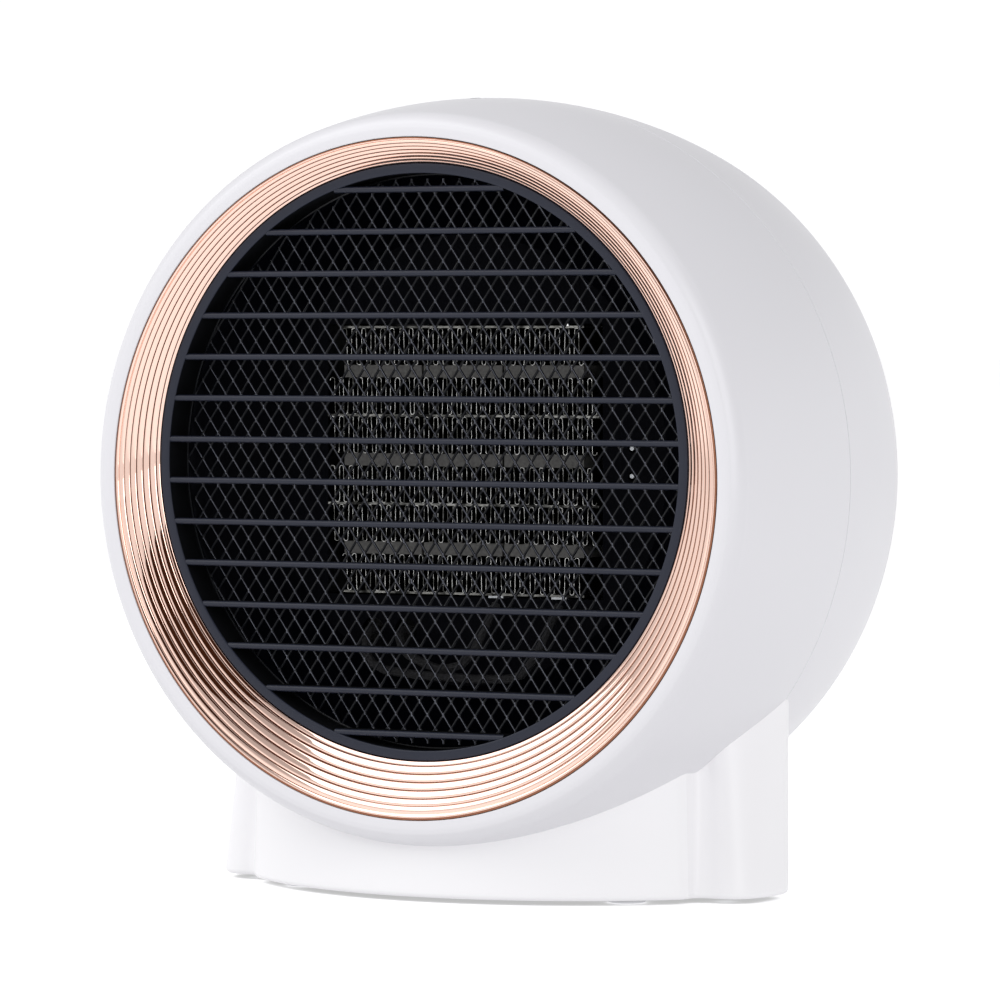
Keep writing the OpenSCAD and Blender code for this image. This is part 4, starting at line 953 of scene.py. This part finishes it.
# ---- Push button ----
# A round cap in the shells' ABS, a little proud of the barrel and following its curve, with a soft
# edge and a shallow thumb dish. Its skirt and stem stay as the CAD model has them, under the skin.
button_proud, dish_r, dish_depth = 0.3, 12.2, 0.35
profile = [(button_r, 6.0), (button_r, 0.55), (button_r - 0.07, 0.3), (button_r - 0.25, 0.12),
           (button_r - 0.55, 0.02), (button_r - 1.1, 0.0), (dish_r, 0.06)]
profile += [(dish_r * sqrt(1 - i / 9), 0.06 + dish_depth * sin(pi / 2 * i / 9)) for i in range(1, 9)]
profile = [(r, drop - button_proud) for r, drop in profile]
button = make_piece("button_cap", *cap_on_barrel(button_y, profile, 128), abs_white, "button", crisp=45)
coat("control_button", abs_white)

# ---- Rear grille ----
# A white ABS moulding set flush in the rear wall: six rings, eight spokes, a hub and a rim, all
# with rounded edges. Air for the fan comes in here.
intake_back = (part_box("rear_grille")[1].y - middle_y) / mm
hub_r, hub_edge, deep, spokes = 6, 0.7, intake_back - 3, 8
rim = rounded_box(intake_mouth - 3, intake_mouth, deep, intake_back, 0.4)
parts, part_faces = turned(rim, 200, outlet_up)
for r in range(10, 42, 6):
    bead = rounded_box(r - 1, r + 1, intake_back - 2.6, intake_back - 0.4, 0.5)
    join_on(parts, part_faces, *turned(bead, 160, outlet_up))
hub = [(turning_gap, deep), (hub_r, deep), (hub_r, intake_back - 0.9)] \
    + bend(hub_r - hub_edge, intake_back - 0.9, hub_edge, 0, 90, 5)[1:] + [(turning_gap, intake_back - 0.2)]
join_on(parts, part_faces, *turned(hub, 96, outlet_up))
for k in range(spokes):
    turn = tau * (k + 0.5) / spokes
    along = Vector((cos(turn), 0, sin(turn)))
    side = Vector((-sin(turn), 0, cos(turn)))
    section = [(1 - 0.4 * (1 - cos(a)), -0.4 * (1 - sin(a))) for a in (0, pi / 6, pi / 3, pi / 2)]
    section += [(-x, y) for x, y in reversed(section)] + [(-1, -2.2), (1, -2.2)]
    start = len(parts)
    for reach in (5.2, 20, 35, intake_mouth - 2):
        for x, y in section:
            p = along * reach + side * x
            parts.append((p.x, intake_back - 0.3 + y, outlet_up + p.z))
    n = len(section)
    part_faces += rows_to_faces(4, n, False, True, start)
    part_faces += [tuple(start + i for i in range(n)), tuple(start + 3 * n + i for i in reversed(range(n)))]
rear_grille = make_piece("grille_rear", parts, part_faces, abs_white)
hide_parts("rear_grille")

# ---- Fan, boards and wires ----
# What shows through the two grilles: the dark fan and its brass nut, the green control and power
# boards with their parts, and the sleeved wires.
coat("impeller", nylon_black)
# Brass from the lathe: a warm yellow metal with a little tarnish.
brass, tree, shader, places = new_finish("turned_brass")
shader.inputs["Base Color"].default_value = linear("#c9a35c")
shader.inputs["Metallic"].default_value = 1.0
cloudy_gloss(tree, shader, places, 900.0, 3.0, 0.25, 0.4)
for node in ("impeller_nut", "motor_bushes"):
    coat(node, brass)

# Each of these is one hue with fine mottling: its nodes, its two shades and its roughness.
for name, nodes, low, high, rough in (
        ("solder_masked_laminate_green", ("button_board", "power_board", "terminal_block"),
         "#1f5a3a", "#2b7048", 0.35),
        ("moulded_polyester_blue", ("relay",), "#1d4585", "#2a5aa3", 0.3),
        ("moulded_epoxy_ochre", ("capacitor",), "#b5882c", "#c99c3e", 0.32),
        ("glass_braid_sleeve_charcoal", ("heater_leads",), "#1d1d1f", "#2e2e31", 0.8),
        ("silicone_insulation_red", ("motor_leads",), "#8d2b22", "#a8382c", 0.45),
        ("glazed_ceramic_cream", ("thermal_fuse",), "#c9b795", "#dccaa8", 0.25)):
    finish, tree, shader, places = new_finish(name)
    mottle = add(tree, "ShaderNodeTexNoise", {}, {"Vector": places, "Scale": 1500.0, "Detail": 3.0})
    tone = add(tree, "ShaderNodeValToRGB", {}, {"Fac": mottle.outputs["Fac"]})
    tone.color_ramp.elements[0].position, tone.color_ramp.elements[0].color = 0.35, linear(low)
    tone.color_ramp.elements[1].position, tone.color_ramp.elements[1].color = 0.65, linear(high)
    tree.links.new(tone.outputs["Color"], shader.inputs["Base Color"])
    shader.inputs["Roughness"].default_value = rough
    bumps = add(tree, "ShaderNodeBump", {}, {"Height": mottle.outputs["Fac"], "Strength": 0.2,
                                           "Distance": 0.1 * mm})
    tree.links.new(bumps.outputs["Normal"], shader.inputs["Normal"])
    for node in nodes:
        coat(node, finish)
